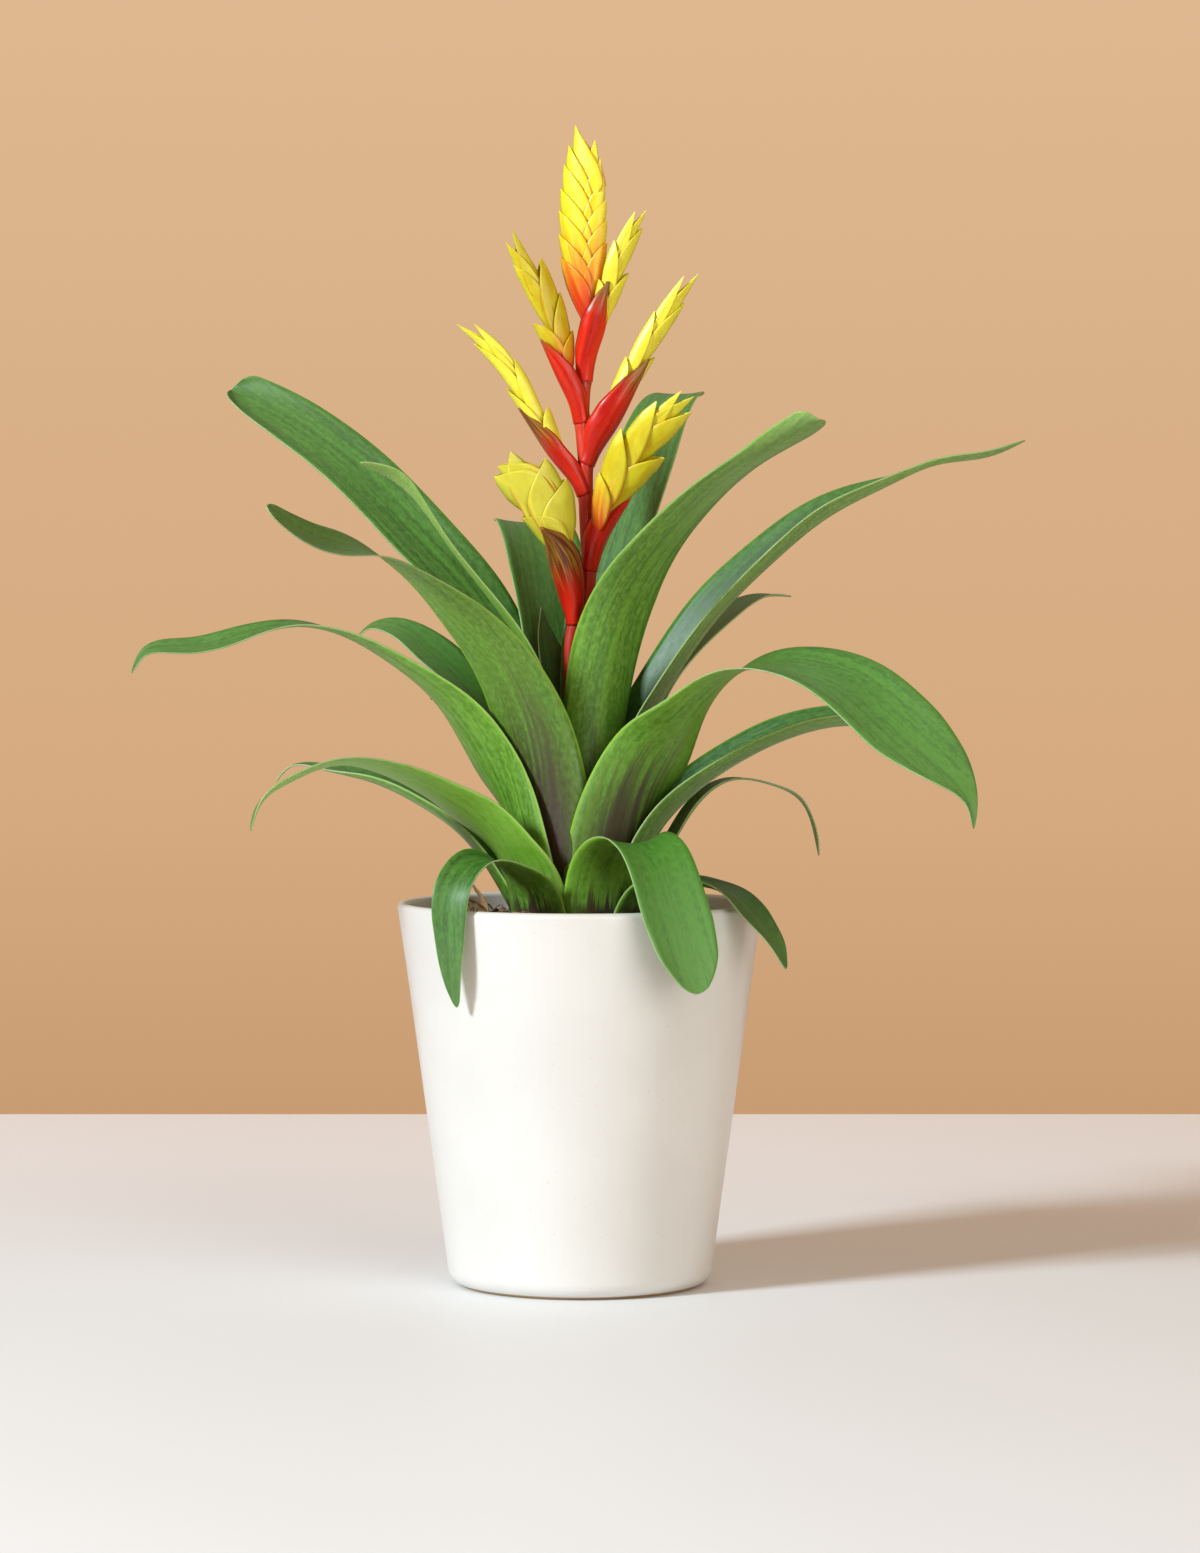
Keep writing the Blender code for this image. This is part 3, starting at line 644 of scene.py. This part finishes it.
leaf(16, 132, 17, [(22, 44), (36, 80), (57, 102), (78, 115), (99, 122), (113, 122)],
     [(0, 17), (0.2, 15), (0.5, 12), (0.75, 10), (0.9, 5.5), (0.96, 2.5), (1, 0.8)], tone=0.4)
leaf(17, -116, 16.3,
     [(18.2, 43), (28, 90), (45, 121), (65, 141), (85, 160), (107, 178), (130, 192), (146, 200), (154, 204)],
     [(0, 18), (0.2, 15), (0.4, 13.5), (0.75, 13.5), (0.88, 13), (0.95, 11.5), (1, 9)],
     cups=[(0, 40), (0.3, 28), (0.85, 20), (0.95, 40), (1, 75)],
     roll=[(0, 0), (0.3, -15), (0.6, -40), (1, -40)], tone=0.45)
leaf(18, 92, 15,
     [(17, 48), (34, 86), (54, 115), (75, 136), (96, 153), (119, 165), (138, 173), (156, 176), (171, 182)],
     [(0, 17), (0.2, 16), (0.45, 15), (0.65, 12), (0.78, 7.5), (0.84, 3.2), (0.9, 4.8), (0.95, 4.4), (1, 0.6)],
     cups=[(0, 40), (0.25, 62), (0.7, 62), (0.85, 30), (1, 20)],
     fold=[(0, 0), (0.25, 0.8), (0.75, 0.8), (0.9, 0)],
     roll=[(0, 0), (0.2, 12), (0.5, 22), (0.75, 10), (0.85, -10), (1, -20)], tone=0.3)
leaf(19, -160, 14.6,
     [(15.6, 55), (18, 80), (24, 106), (34, 131), (44, 146), (53, 151), (60, 150)],
     [(0, 16), (0.3, 16.5), (0.8, 16.5), (0.95, 15), (1, 12)], cups=[(0, 40), (0.3, 30), (0.6, 14), (1, 6)],
     drift=[(0, 0), (1, 2.5)], tone=0.5)
leaf(20, -78, 13.2,
     [(13.3, 44), (20, 98), (35, 121), (51, 142), (62, 158), (72, 168), (79, 171), (85, 173)],
     [(0, 15), (0.2, 13), (0.45, 10), (0.65, 6), (0.8, 2.2), (0.86, 2), (0.92, 4), (0.97, 3), (1, 0.5)],
     roll=[(0, 0), (0.8, 0), (0.9, 30), (1, 30)], tone=0.9, stain=1.5)
leaf(21, 38, 12.3,
     [(12.5, 52), (15, 83), (27, 117), (52, 143), (84, 163), (113, 175), (140, 186)],
     [(0, 17), (0.2, 16.5), (0.4, 15.5), (0.6, 13), (0.8, 10), (0.92, 8.6), (1, 7)],
     cups=[(0, 45), (0.3, 32), (0.85, 20), (0.96, 35), (1, 60)],
     roll=[(0, 0), (0.3, -18), (0.45, -13), (0.6, 0), (0.85, 0), (1, -25)], tone=0.35, stain=0.9)
leaf(22, 149, 11,
     [(11.5, 59), (20, 121), (41, 160), (56, 185), (66, 197), (76, 202), (84, 201)],
     [(0, 14), (0.3, 15), (0.8, 15), (0.95, 12), (1, 8)], cups=[(0, 40), (0.3, 30), (0.7, 14), (1, 8)], tone=0.35)
leaf(23, -130, 9.1, [(9.5, 50), (13, 80), (17, 100), (19, 110), (19.5, 118)],
     [(0, 10), (0.5, 12), (0.8, 10), (0.92, 4.5), (0.98, 1.2), (1, 0.5)], cups=[(0, 60), (1, 45)], tone=0.1)
print("leaves done")

# ---- flower stem

stem = {
    "radius": 2.75, "rows": 150, "sides": 28,
    # axis (x, y, height over the soil)
    "path": [(0, 0, 0.3), (-1, 0, 50), (-3.5, 0, 100), (-1.9, 0, 111), (2.6, 0, 122), (3.4, 0, 132),
             (2.3, 0, 159), (2.2, 0, 171), (0.9, 0, 188), (1.5, 0, 204), (1.9, 0, 223.5)],
    "nodes": [111, 131.5, 160, 171.5, 188, 204], "nodeSwell": 0.34,
    "red": ((0.42, 0.016, 0.010), (0.66, 0.040, 0.018)), "freckle": (0.62, 0.20, 0.11), "joint": (0.20, 0.02, 0.015),
}

stemRed, tree, shader = newMaterial("stemRed", Coat_Weight=0.2, Coat_Roughness=0.2)
fibre = useGroup(tree, plantFibre, {"Across": 9.0, "Along": 0.5, "Mottle Scale": 3.0, "Fleck Share": 0.35})
place = placeOf(tree)
colour = mixed(tree, ranged(tree, fibre["Streaks"], 0.3, 0.7), *stem["red"])
colour = mixed(tree, sums(tree, "MULTIPLY", fibre["Flecks"], 0.5), colour, stem["freckle"])
colour = mixed(tree, ranged(tree, place[1], 0.5, 1.0, 0.0, 0.7), colour, stem["joint"])
rough = ranged(tree, fibre["Mottle"], 0.3, 0.7, 0.30, 0.45)
finishSurface(tree, shader, colour, rough, fibre["Streaks"], 0.35, 0.00025)

share = np.linspace(0, 1, stem["rows"])
path = [(x, y, soilTop + z) for x, y, z in stem["path"]]
path[0] = (0, 0, soilTop - 4)
axis = spline(path, share)
height = axis[:, 2] - soilTop
swell = np.zeros(len(share))
line = np.zeros(len(share))
for node in stem["nodes"]:
    swell += stem["nodeSwell"] * np.exp(-(((height - node) / 1.6) ** 2))
    line += np.exp(-(((height - node + 0.4) / 0.45) ** 2))
stemPoints, stemFaces = tube(axis, stem["radius"] + swell, stem["sides"])
girth = 2 * pi * stem["radius"] / 10  # centimetres
rowOf = [min(i // stem["sides"], stem["rows"] - 1) for i in range(len(stemPoints))]
uv = [(girth * (i % stem["sides"]) / stem["sides"], height[row] / 10) for i, row in enumerate(rowOf)]
place = [(share[row], min(1, line[row]), 0.5, 1) for row in rowOf]
seat(addPiece("flowerStem", stemPoints, stemFaces, [stemRed], uv, place), "stem", "flower_stem")


def stemAt(z):
    heights = [p[2] for p in stem["path"]]
    return np.array([float(np.interp(z, heights, [p[0] for p in stem["path"]])), 0, soilTop + z])


# ---- stem bracts, which clasp the stem and open like boats

bractCare = {
    "rows": 40, "columns": 18, "thickness": 0.4,
    "red": ((0.42, 0.006, 0.003), (0.78, 0.024, 0.004)), "tip": ((0.07, 0.025, 0.008), (0.34, 0.19, 0.02)),
    "freckle": (0.55, 0.30, 0.14), "margin": (0.16, 0.02, 0.012),
}
bractRed, tree, shader = newMaterial("bractRed", Coat_Weight=0.12, Coat_Roughness=0.2, Specular_IOR_Level=0.35)
fibre = useGroup(tree, plantFibre, {"Across": 10.0, "Along": 0.5, "Mottle Scale": 3.2, "Fleck Share": 0.3})
place = placeOf(tree)
colour = mixed(tree, ranged(tree, fibre["Streaks"], 0.3, 0.7), *bractCare["red"])
climb = nudged(tree, place[0], fibre["Streaks"], 0.5)
low = sums(tree, "SUBTRACT", 1.0, place[2])  # where the green starts
tipMask = ranged(tree, climb, low, sums(tree, "ADD", low, 0.35), 0.0, 0.9)
tipColour = mixed(tree, ranged(tree, fibre["Fine"], 0.35, 0.65), *bractCare["tip"])
colour = mixed(tree, tipMask, colour, tipColour)
colour = mixed(tree, sums(tree, "MULTIPLY", fibre["Flecks"], 0.35), colour, bractCare["freckle"])
colour = mixed(tree, ranged(tree, place[1], 0.9, 1.0, 0.0, 0.5), colour, bractCare["margin"])
rough = ranged(tree, fibre["Mottle"], 0.3, 0.7, 0.25, 0.42)
finishSurface(tree, shader, colour, rough, fibre["Streaks"], 0.4, 0.00025)


def stemBract(number, height, azimuth, spine, wide, deep, green):
    share = np.linspace(0, 1, bractCare["rows"])
    across = np.linspace(-1, 1, bractCare["columns"] + 1)
    base = stem["radius"] + 0.5
    _, mid, side, inner = spineFrame([(base, 0), *spine], azimuth, share)
    wide = keyed(share, [(0, base), (0.08, base), *wide], 3)[:, None]
    deep = keyed(share, [(0, 2 * base), (0.08, 2 * base), *deep], 3)[:, None]
    curl = np.radians(keyed(share, [(0, 174), (0.1, 170), (0.3, 128), (0.6, 108), (1, 75)], 3))[:, None]
    x = wide * np.sin(curl * across)
    y = deep * (1 - np.cos(curl * across)) / (1 - np.cos(curl))
    points = mid[:, None, :] + x[:, :, None] * side[:, None, :] + y[:, :, None] * inner[:, None, :]
    points = points + stemAt(height)
    uv = np.stack(np.meshgrid(across * 0.9, share * 4), -1).reshape(-1, 2)
    piece = addPiece(f"stemBract{number}", points.reshape(-1, 3), gridFaces(len(share), len(across)),
                     [bractRed], uv, marks(share, across, green))
    thicken(piece, bractCare["thickness"])
    seat(piece, "bract", f"bract_{number}")


# number, height over the soil, azimuth, keel (radius, height), half width and depth by share, green share
stemBract(1, 111.0, -32, [(5, 8), (11, 20), (17, 30), (24, 37)],
          [(0.2, 5.2), (0.45, 6.4), (0.65, 6.4), (0.8, 4.6), (0.93, 1.8), (1, 0.2)],
          [(0.3, 7.4), (0.6, 8), (0.8, 5.5), (1, 0.4)], 0.72)
stemBract(2, 131.5, 58, [(5, 6), (10, 16), (16.5, 25), (22, 33)],
          [(0.3, 4.6), (0.6, 4.8), (0.8, 3.4), (1, 0.2)],
          [(0.3, 8.2), (0.6, 7.5), (0.85, 3), (1, 0.3)], 0.12)
stemBract(3, 160.0, -84, [(5, 4), (12, 13), (19, 23), (26, 34)],
          [(0.3, 4), (0.6, 4.4), (0.8, 3), (1, 0.2)],
          [(0.3, 7), (0.6, 6.5), (0.85, 3), (1, 0.3)], 0.6)
stemBract(4, 171.5, 78, [(5, 4), (11.5, 14), (18, 26), (25, 41)],
          [(0.3, 5), (0.55, 5.2), (0.8, 3.4), (1, 0.2)],
          [(0.25, 10.5), (0.5, 10), (0.75, 6), (1, 0.3)], 0.45)
stemBract(5, 188.0, -66, [(5, 7), (9, 15), (13, 23), (17.5, 32)],
          [(0.3, 4), (0.6, 4), (0.8, 2.8), (1, 0.2)],
          [(0.3, 7), (0.6, 6.2), (0.85, 2.6), (1, 0.3)], 0.25)
stemBract(6, 204.0, 54, [(4.5, 8), (8, 18), (10.5, 28), (12, 38)],
          [(0.25, 4.2), (0.5, 5.4), (0.7, 5.2), (0.88, 2.8), (1, 0.2)],
          [(0.3, 7.4), (0.6, 7), (0.85, 3.5), (1, 0.4)], 0.4)

# ---- flower spikes of folded bracts in two ranks

spikeCare = {
    "rows": 24, "columns": 14, "crowd": 1.5, "thickness": 0.1,
    "swell": [(0, 0.2), (0.06, 0.5), (0.16, 0.78), (0.32, 0.98), (0.55, 1), (0.75, 0.85), (0.9, 0.6), (1, 0.4)],
    "yellow": ((0.78, 0.62, 0.005), (0.90, 0.82, 0.020)), "lime": (0.80, 0.84, 0.10),
    "orange": (0.80, 0.24, 0.005), "red": (0.62, 0.018, 0.004),
    "keel": (0.36, 0.46, 0.03), "margin": (0.68, 0.11, 0.01),
}
spikeYellow, tree, shader = newMaterial("spikeYellow", Coat_Weight=0.1, Coat_Roughness=0.25)
fibre = useGroup(tree, plantFibre, {"Across": 12.0, "Along": 0.5, "Mottle Scale": 2.4, "Fleck Share": 0.1})
place = placeOf(tree)  # nearness to the margin, share of the bract, painted shade, climb from red to yellow
climb = nudged(tree, place[3], fibre["Streaks"], 0.35)
colour = mixed(tree, ranged(tree, fibre["Mottle"], 0.3, 0.7), *spikeCare["yellow"])
# painted shade: each spike's yellow is darkened and dulled by its own amount, most on the spikes that stand in shade
paintedShade = mixed(tree, 1.0, colour, (0.72, 0.68, 0.5), "MULTIPLY")
colour = mixed(tree, ranged(tree, place[2], 0.4, 0.8), colour, paintedShade)
colour = mixed(tree, ranged(tree, climb, 0.55, 1.0, 0.0, 0.35), colour, spikeCare["lime"])
colour = mixed(tree, ranged(tree, climb, 0.04, 0.38, 1.0, 0.0), colour, spikeCare["orange"])
colour = mixed(tree, ranged(tree, climb, 0.0, 0.27, 1.0, 0.0), colour, spikeCare["red"])
keel = ranged(tree, place[0], 0.0, 0.35, 1.0, 0.0)
keel = sums(tree, "MULTIPLY", keel, ranged(tree, place[1], 0.45, 0.95, 0.0, 0.5))
colour = mixed(tree, keel, colour, spikeCare["keel"])
line = sums(tree, "MULTIPLY", ranged(tree, place[0], 0.94, 0.985), ranged(tree, place[1], 0.95, 0.55, 0.0, 0.6))
colour = mixed(tree, line, colour, spikeCare["margin"])
rough = ranged(tree, fibre["Mottle"], 0.3, 0.7, 0.32, 0.46)
finishSurface(tree, shader, colour, rough, fibre["Streaks"], 0.3, 0.0002)


def flowerSpike(number, path, wide, halfWidth, halfDepth, tips, length, blush, paintedShade=0.5, seam=0.0, point=2.8,
                swell=spikeCare["swell"]):
    rows, columns = spikeCare["rows"], spikeCare["columns"]
    path = [(x, y, soilTop + z) for x, y, z in path]
    points, faces, places, uvs = [], [], [], []
    across = np.linspace(-1, 1, columns + 1)
    away = np.abs(across)
    share = crowded(rows, spikeCare["crowd"])
    for k, (hand, tip, reach, *spread) in enumerate(sorted(tips, key=lambda t: t[1])):
        s = np.maximum(tip - length, 0.0) + (tip - np.maximum(tip - length, 0.0)) * share
        inside = np.clip(s, 0.004, 0.996)
        mid = spline(path, s)
        along = unit(spline(path, inside + 2e-3) - spline(path, inside - 2e-3))
        flat = unit(np.array(wide, float) - (along @ np.array(wide, float))[:, None] * along)
        deep = np.cross(along, flat)
        body = np.interp(s, *zip(*swell))
        lean = np.interp(share, [0, 0.3, 0.6, 0.85, 1], [0.08, 0.55, 0.86, 1.0, 1.03])
        keel = halfWidth * body * lean * (1 + (reach - 1) * ease(share / 0.7))
        whole = np.maximum(keel + ((spread or [0.28])[0] - hand * seam) * halfWidth * body, 0.2)
        whole = whole * (0.12 + 0.88 * ease(share / 0.3))
        flank = whole * (1 - 0.97 * np.clip((share - 0.3) / 0.7, 0, 1) ** point)
        gap = flank[:, None] * away[None, :] ** 1.1
        outer = 1.45 - 0.75 * k / (len(tips) - 1)  # lower bracts lie outside the higher ones
        thick = halfDepth * (0.3 + 0.7 * body) * (0.72 + 0.4 * share) * outer
        y = thick[:, None] * (1 - np.exp(-gap / (0.34 * halfWidth))) * np.sign(across)[None, :]
        x = hand * (keel[:, None] - gap)
        sheet = mid[:, None, :] + x[:, :, None] * flat[:, None, :] + y[:, :, None] * deep[:, None, :]
        order = gridFaces(rows, columns + 1, len(points))
        faces += order if hand < 0 else [f[::-1] for f in order]
        points += sheet.reshape(-1, 3).tolist()
        mark = np.zeros((rows, columns + 1, 4))
        mark[..., 0] = away[None, :]
        mark[..., 1] = share[:, None]
        mark[..., 2] = paintedShade
        mark[..., 3] = (0.34 * s / blush)[:, None]
        places += mark.reshape(-1, 4).tolist()
        span = np.linalg.norm(np.array(path[-1]) - np.array(path[0])) * length / 10
        uvs += np.stack([gap * np.sign(across) / 10 + k, share[:, None] * span + 0 * gap], -1).reshape(-1, 2).tolist()
    piece = addPiece(f"flowerSpike{number}", points, faces, [spikeYellow], uvs, places)
    thicken(piece, spikeCare["thickness"])
    seat(piece, "spike", f"spike_{number}")


# number, spine (x, y, height over the soil), wide direction, half width, half depth,
# bracts (hand, share of the spine at the tip, reach, spread past the middle), length of a bract, red share,
# and where they differ: painted shade, seam off the middle, bluntness, swell by share of the spine
flowerSpike(1, [(-0.6, -3.9, 119), (-4, -8, 133), (-9.5, -13, 148), (-16, -17, 161), (-28, -22, 175)],
            (1, 0, 0.75), 10.2, 2.4,
            [(-1, 0.63, 0.9, 0.5), (1, 0.7, 1.15, 0.5), (1, 0.84, 1.05, 0.6), (-1, 0.96, 1.1, 0.6),
             (-1, 0.99, 0.7, 0.7), (1, 1, 0.45, 0.8)],
            0.56, 0.12, 0.75, 0.0, 6,
            [(0, 0.16), (0.2, 0.34), (0.32, 0.55), (0.45, 0.85), (0.62, 1.05), (0.8, 1.02), (0.92, 0.85), (1, 0.62)])
flowerSpike(2, [(5.2, -3.6, 143), (8.5, -8, 152), (14.5, -12, 165), (25, -18, 182), (42, -24, 199)],
            (1, 0.2, -0.8), 9.3, 2.6,
            [(-1, 0.37, 0.9), (-1, 0.62, 1.1), (1, 0.62, 1.15), (-1, 0.84, 1), (1, 0.93, 1.1), (-1, 0.97, 0.7),
             (1, 1, 0.5, 0.6)],
            0.52, 0.36, 0.65)
flowerSpike(3, [(-2, 0, 171), (-9.5, -1, 180), (-19, -2, 195), (-30.5, -3, 213), (-46, -5, 227)],
            (1, -0.35, 0.6), 4.9, 2.8,
            [(1, 0.36, 1.25), (-1, 0.55, 1), (1, 0.66, 1), (-1, 0.86, 1), (1, 0.93, 1.1), (-1, 1, 0.8, 0.5)],
            0.56, 0.1, 0.4, 0.1)
flowerSpike(4, [(5.2, 0, 182), (10.5, -1, 191), (20, -2, 208), (30.5, -3, 226), (44, -5, 246)],
            (1, 0.35, -0.6), 5.2, 2.8,
            [(-1, 0.45, 1), (1, 0.52, 1), (-1, 0.72, 1), (1, 0.84, 1), (-1, 0.95, 1), (1, 1, 0.8, 0.5)],
            0.56, 0.08, 0.35, -0.1)
flowerSpike(5, [(-3.3, -1.5, 200), (-7.5, -2, 216), (-12, -3, 230), (-18.5, -5, 245), (-27, -7, 261)],
            (1, 0.3, 0.5), 7, 2.6,
            [(1, 0.34, 1), (-1, 0.45, 1), (1, 0.56, 1.05), (1, 0.78, 1.1), (-1, 0.82, 0.9), (-1, 0.95, 0.9),
             (1, 1, 0.5, 0.6)],
            0.52, 0.4, 0.9)
flowerSpike(6, [(6.3, -1, 217), (8.8, -2.5, 230), (12.5, -4, 243), (18, -5, 258), (24.5, -6, 270)],
            (1, 0.35, -0.4), 5.3, 2.6,
            [(-1, 0.45, 1), (1, 0.55, 1), (-1, 0.72, 1), (1, 0.88, 1), (-1, 0.95, 0.9), (1, 1, 0.6, 0.5)],
            0.54, 0.1, 0.4)
flowerSpike(7, [(1.9, 0, 224), (1.7, 0, 240), (1.2, 0, 262), (1.2, 0, 283), (0.8, 0, 302)],
            (1, -0.3, 0), 9, 3.1,
            [(-1, 0.36, 1), (-1, 0.47, 1), (-1, 0.585, 1), (-1, 0.69, 1), (-1, 0.81, 1), (-1, 0.905, 0.95),
             (1, 0.42, 1), (1, 0.53, 1), (1, 0.63, 1), (1, 0.73, 1), (1, 0.83, 1), (1, 0.925, 0.95),
             (-1, 1, 0.7, 0.8)],
            0.42, 0.58, 0.2, 0.22, 2.2,
            [(0, 0.34), (0.09, 0.7), (0.16, 0.88), (0.27, 0.97), (0.45, 1.05), (0.58, 1.04), (0.69, 0.97),
             (0.81, 0.82), (0.9, 0.64), (0.96, 0.5), (1, 0.42)])
print("flower done")

# ---- dry sheaths at the crown

sheath = {
    "rows": 22, "columns": 10, "thickness": 0.35, "crinkle": 0.5, "sink": 2,
    "widths": [(0, 4), (0.5, 3.5), (1, 0.6)], "cups": [(0, 30), (1, 30)],
    "straw": ((0.11, 0.05, 0.02), (0.42, 0.26, 0.12)),
    # azimuth, base radius, lean outwards, rise
    "set": [(-72, 38, 6, 13), (-58, 42, 9, 9), (-86, 42, 7, 10)],
}

husk, tree, shader = newMaterial("dryHusk", Specular_IOR_Level=0.3)
fibre = useGroup(tree, plantFibre, {"Across": 16.0, "Along": 0.8, "Mottle Scale": 4.0})
colour = mixed(tree, ranged(tree, fibre["Streaks"], 0.3, 0.7), *sheath["straw"])
finishSurface(tree, shader, colour, ranged(tree, fibre["Fine"], 0.3, 0.7, 0.6, 0.9), fibre["Streaks"], 0.7, 0.0004)

share = np.linspace(0, 1, sheath["rows"])
across = np.linspace(-1, 1, sheath["columns"] + 1)
for i, (azimuth, base, lean, rise) in enumerate(sheath["set"]):
    foot = soilHeight(base - 1.5) + leafCare["footGap"]
    path = [(base, foot - sheath["sink"]), (base + lean * 0.4, foot + rise * 0.6), (base + lean, foot + rise)]
    points, inner = bladePoints(path, azimuth, sheath["widths"], sheath["cups"], still, share, across)
    crinkle = np.array([[noise.noise(Vector((a * 2, s * 6, i * 3.0))) for a in across] for s in share])
    points = points + sheath["crinkle"] * crinkle[:, :, None] * inner[:, None, :]
    uv = np.stack(np.meshgrid(across * 0.35, share * 1.5), -1).reshape(-1, 2)
    piece = addPiece(f"drySheath{i + 1}", points.reshape(-1, 3), gridFaces(len(share), len(across)),
                     [husk], uv, marks(share, across, 0.2 + 0.3 * i))
    thicken(piece, sheath["thickness"])
    seat(piece, "dry_sheath", f"dry_sheath_{i + 1}")
print("dry sheaths done")

# ---- table, world, lights and camera

studio = {
    "tableHalf": 590, "tableDepth": 18, "tableRound": 3,
    "table": (0.805, 0.832, 0.845), "tableLitBack": (0.97, 0.965, 0.965),
    "tableLightFade": (-0.1, 0.6),  # metres behind the pot where the painted light towards the back starts and where it is full
    "wallSpan": (-0.11, 0.115),  # slope of the view at the foot and the top of the wall's colours
    "wall": [(0.0, (0.571, 0.332, 0.168)), (0.28, (0.665, 0.402, 0.216)), (0.68, (0.694, 0.440, 0.250)),
             (1.0, (0.735, 0.478, 0.278))],
    "ambient": (1.0, 0.58, 0.33), "ambientStrength": 0.41, "lightAim": (0, 0, 0.2),
}

tableTop, tree, shader = newMaterial("tableTop", Specular_IOR_Level=0.35)
body = bodySpace(tree)
grain = cloud(tree, body, 9, 4, 0.5)
# painted light: the table top turns paler towards the back, standing in for brighter light there
back = ranged(tree, put(tree, "SeparateXYZ", {0: body}).outputs[1], *studio["tableLightFade"])
colour = mixed(tree, back, studio["table"], studio["tableLitBack"])
colour = mixed(tree, sums(tree, "MULTIPLY", grain, 0.05), colour, tuple(c * 0.6 for c in studio["table"]))
fine = cloud(tree, body, 800, 2, 0.5)
finishSurface(tree, shader, colour, ranged(tree, fine, 0.3, 0.7, 0.5, 0.62), fine, 0.08, 0.0001)

half, depth = studio["tableHalf"] * mm, studio["tableDepth"] * mm
form = bmesh.new()
square = ((-1, -1), (1, -1), (1, 1), (-1, 1))
corners = [form.verts.new((x * half, y * half, z)) for z in (0, -depth) for x, y in square]
form.faces.new(corners[:4])
form.faces.new(corners[7:3:-1])
for i in range(4):
    j = (i + 1) % 4
    form.faces.new((corners[i], corners[i + 4], corners[j + 4], corners[j]))
bmesh.ops.bevel(form, geom=form.edges[:], offset=studio["tableRound"] * mm, segments=4, affect="EDGES")
tableMesh = bpy.data.meshes.new("table")
form.to_mesh(tableMesh)
form.free()
tableMesh.materials.append(tableTop)
table = bpy.data.objects.new("table", tableMesh)
scene.collection.objects.link(table)

world = bpy.data.worlds.new("studioWorld")
scene.world = world
world.use_nodes = True
tree = world.node_tree
tree.nodes.clear()
ray = put(tree, "SeparateXYZ", {0: put(tree, "TexCoord").outputs["Generated"]}).outputs[2]
low, high = studio["wallSpan"]
ramp = put(tree, "ValToRGB", {0: put(tree, "MapRange", {0: ray, 1: low, 2: high}).outputs[0]})
ramp.color_ramp.elements.remove(ramp.color_ramp.elements[1])
for i, (at, colour) in enumerate(studio["wall"]):
    stop = ramp.color_ramp.elements[0] if i == 0 else ramp.color_ramp.elements.new(at)
    stop.position, stop.color = at, (*colour, 1)
seen = put(tree, "Background", {0: ramp.outputs[0], 1: 1.0}).outputs[0]
glow = put(tree, "Background", {0: (*studio["ambient"], 1), 1: studio["ambientStrength"]}).outputs[0]
pick = put(tree, "MixShader", {0: put(tree, "LightPath").outputs["Is Camera Ray"], 1: glow, 2: seen})
tree.links.new(pick.outputs[0], put(tree, "OutputWorld").inputs[0])

lights = {  # place in metres, size, watts, colour
    "keyLight": ((-2.0, -1.5, 1.42), 0.5, 96, (0.79, 0.92, 1.0)),
    "frontFill": ((1.5, -2.3, 0.75), 2.0, 38, (0.95, 1.0, 0.95)),
    "backFill": ((0.3, 1.3, 1.9), 1.6, 4, (0.80, 0.93, 1.0)),
}
for name, (place, size, watts, colour) in lights.items():
    lamp = bpy.data.lights.new(name, "AREA")
    lamp.size, lamp.energy, lamp.color = size, watts, colour
    light = bpy.data.objects.new(name, lamp)
    light.location = place
    aim = Vector(studio["lightAim"]) - Vector(place)
    light.rotation_euler = aim.to_track_quat("-Z", "Y").to_euler()
    scene.collection.objects.link(light)

view = {"lens": 110, "sensor": 36, "place": (0.0077, -1.82, 0.2666), "tilt": 87.75}
lens = bpy.data.cameras.new("studioCamera")
lens.lens, lens.sensor_width = view["lens"], view["sensor"]
camera = bpy.data.objects.new("studioCamera", lens)
camera.location = view["place"]
camera.rotation_euler = (radians(view["tilt"]), 0, 0)
scene.collection.objects.link(camera)
scene.camera = camera
scene.view_settings.view_transform = "Standard"
print("studio done")
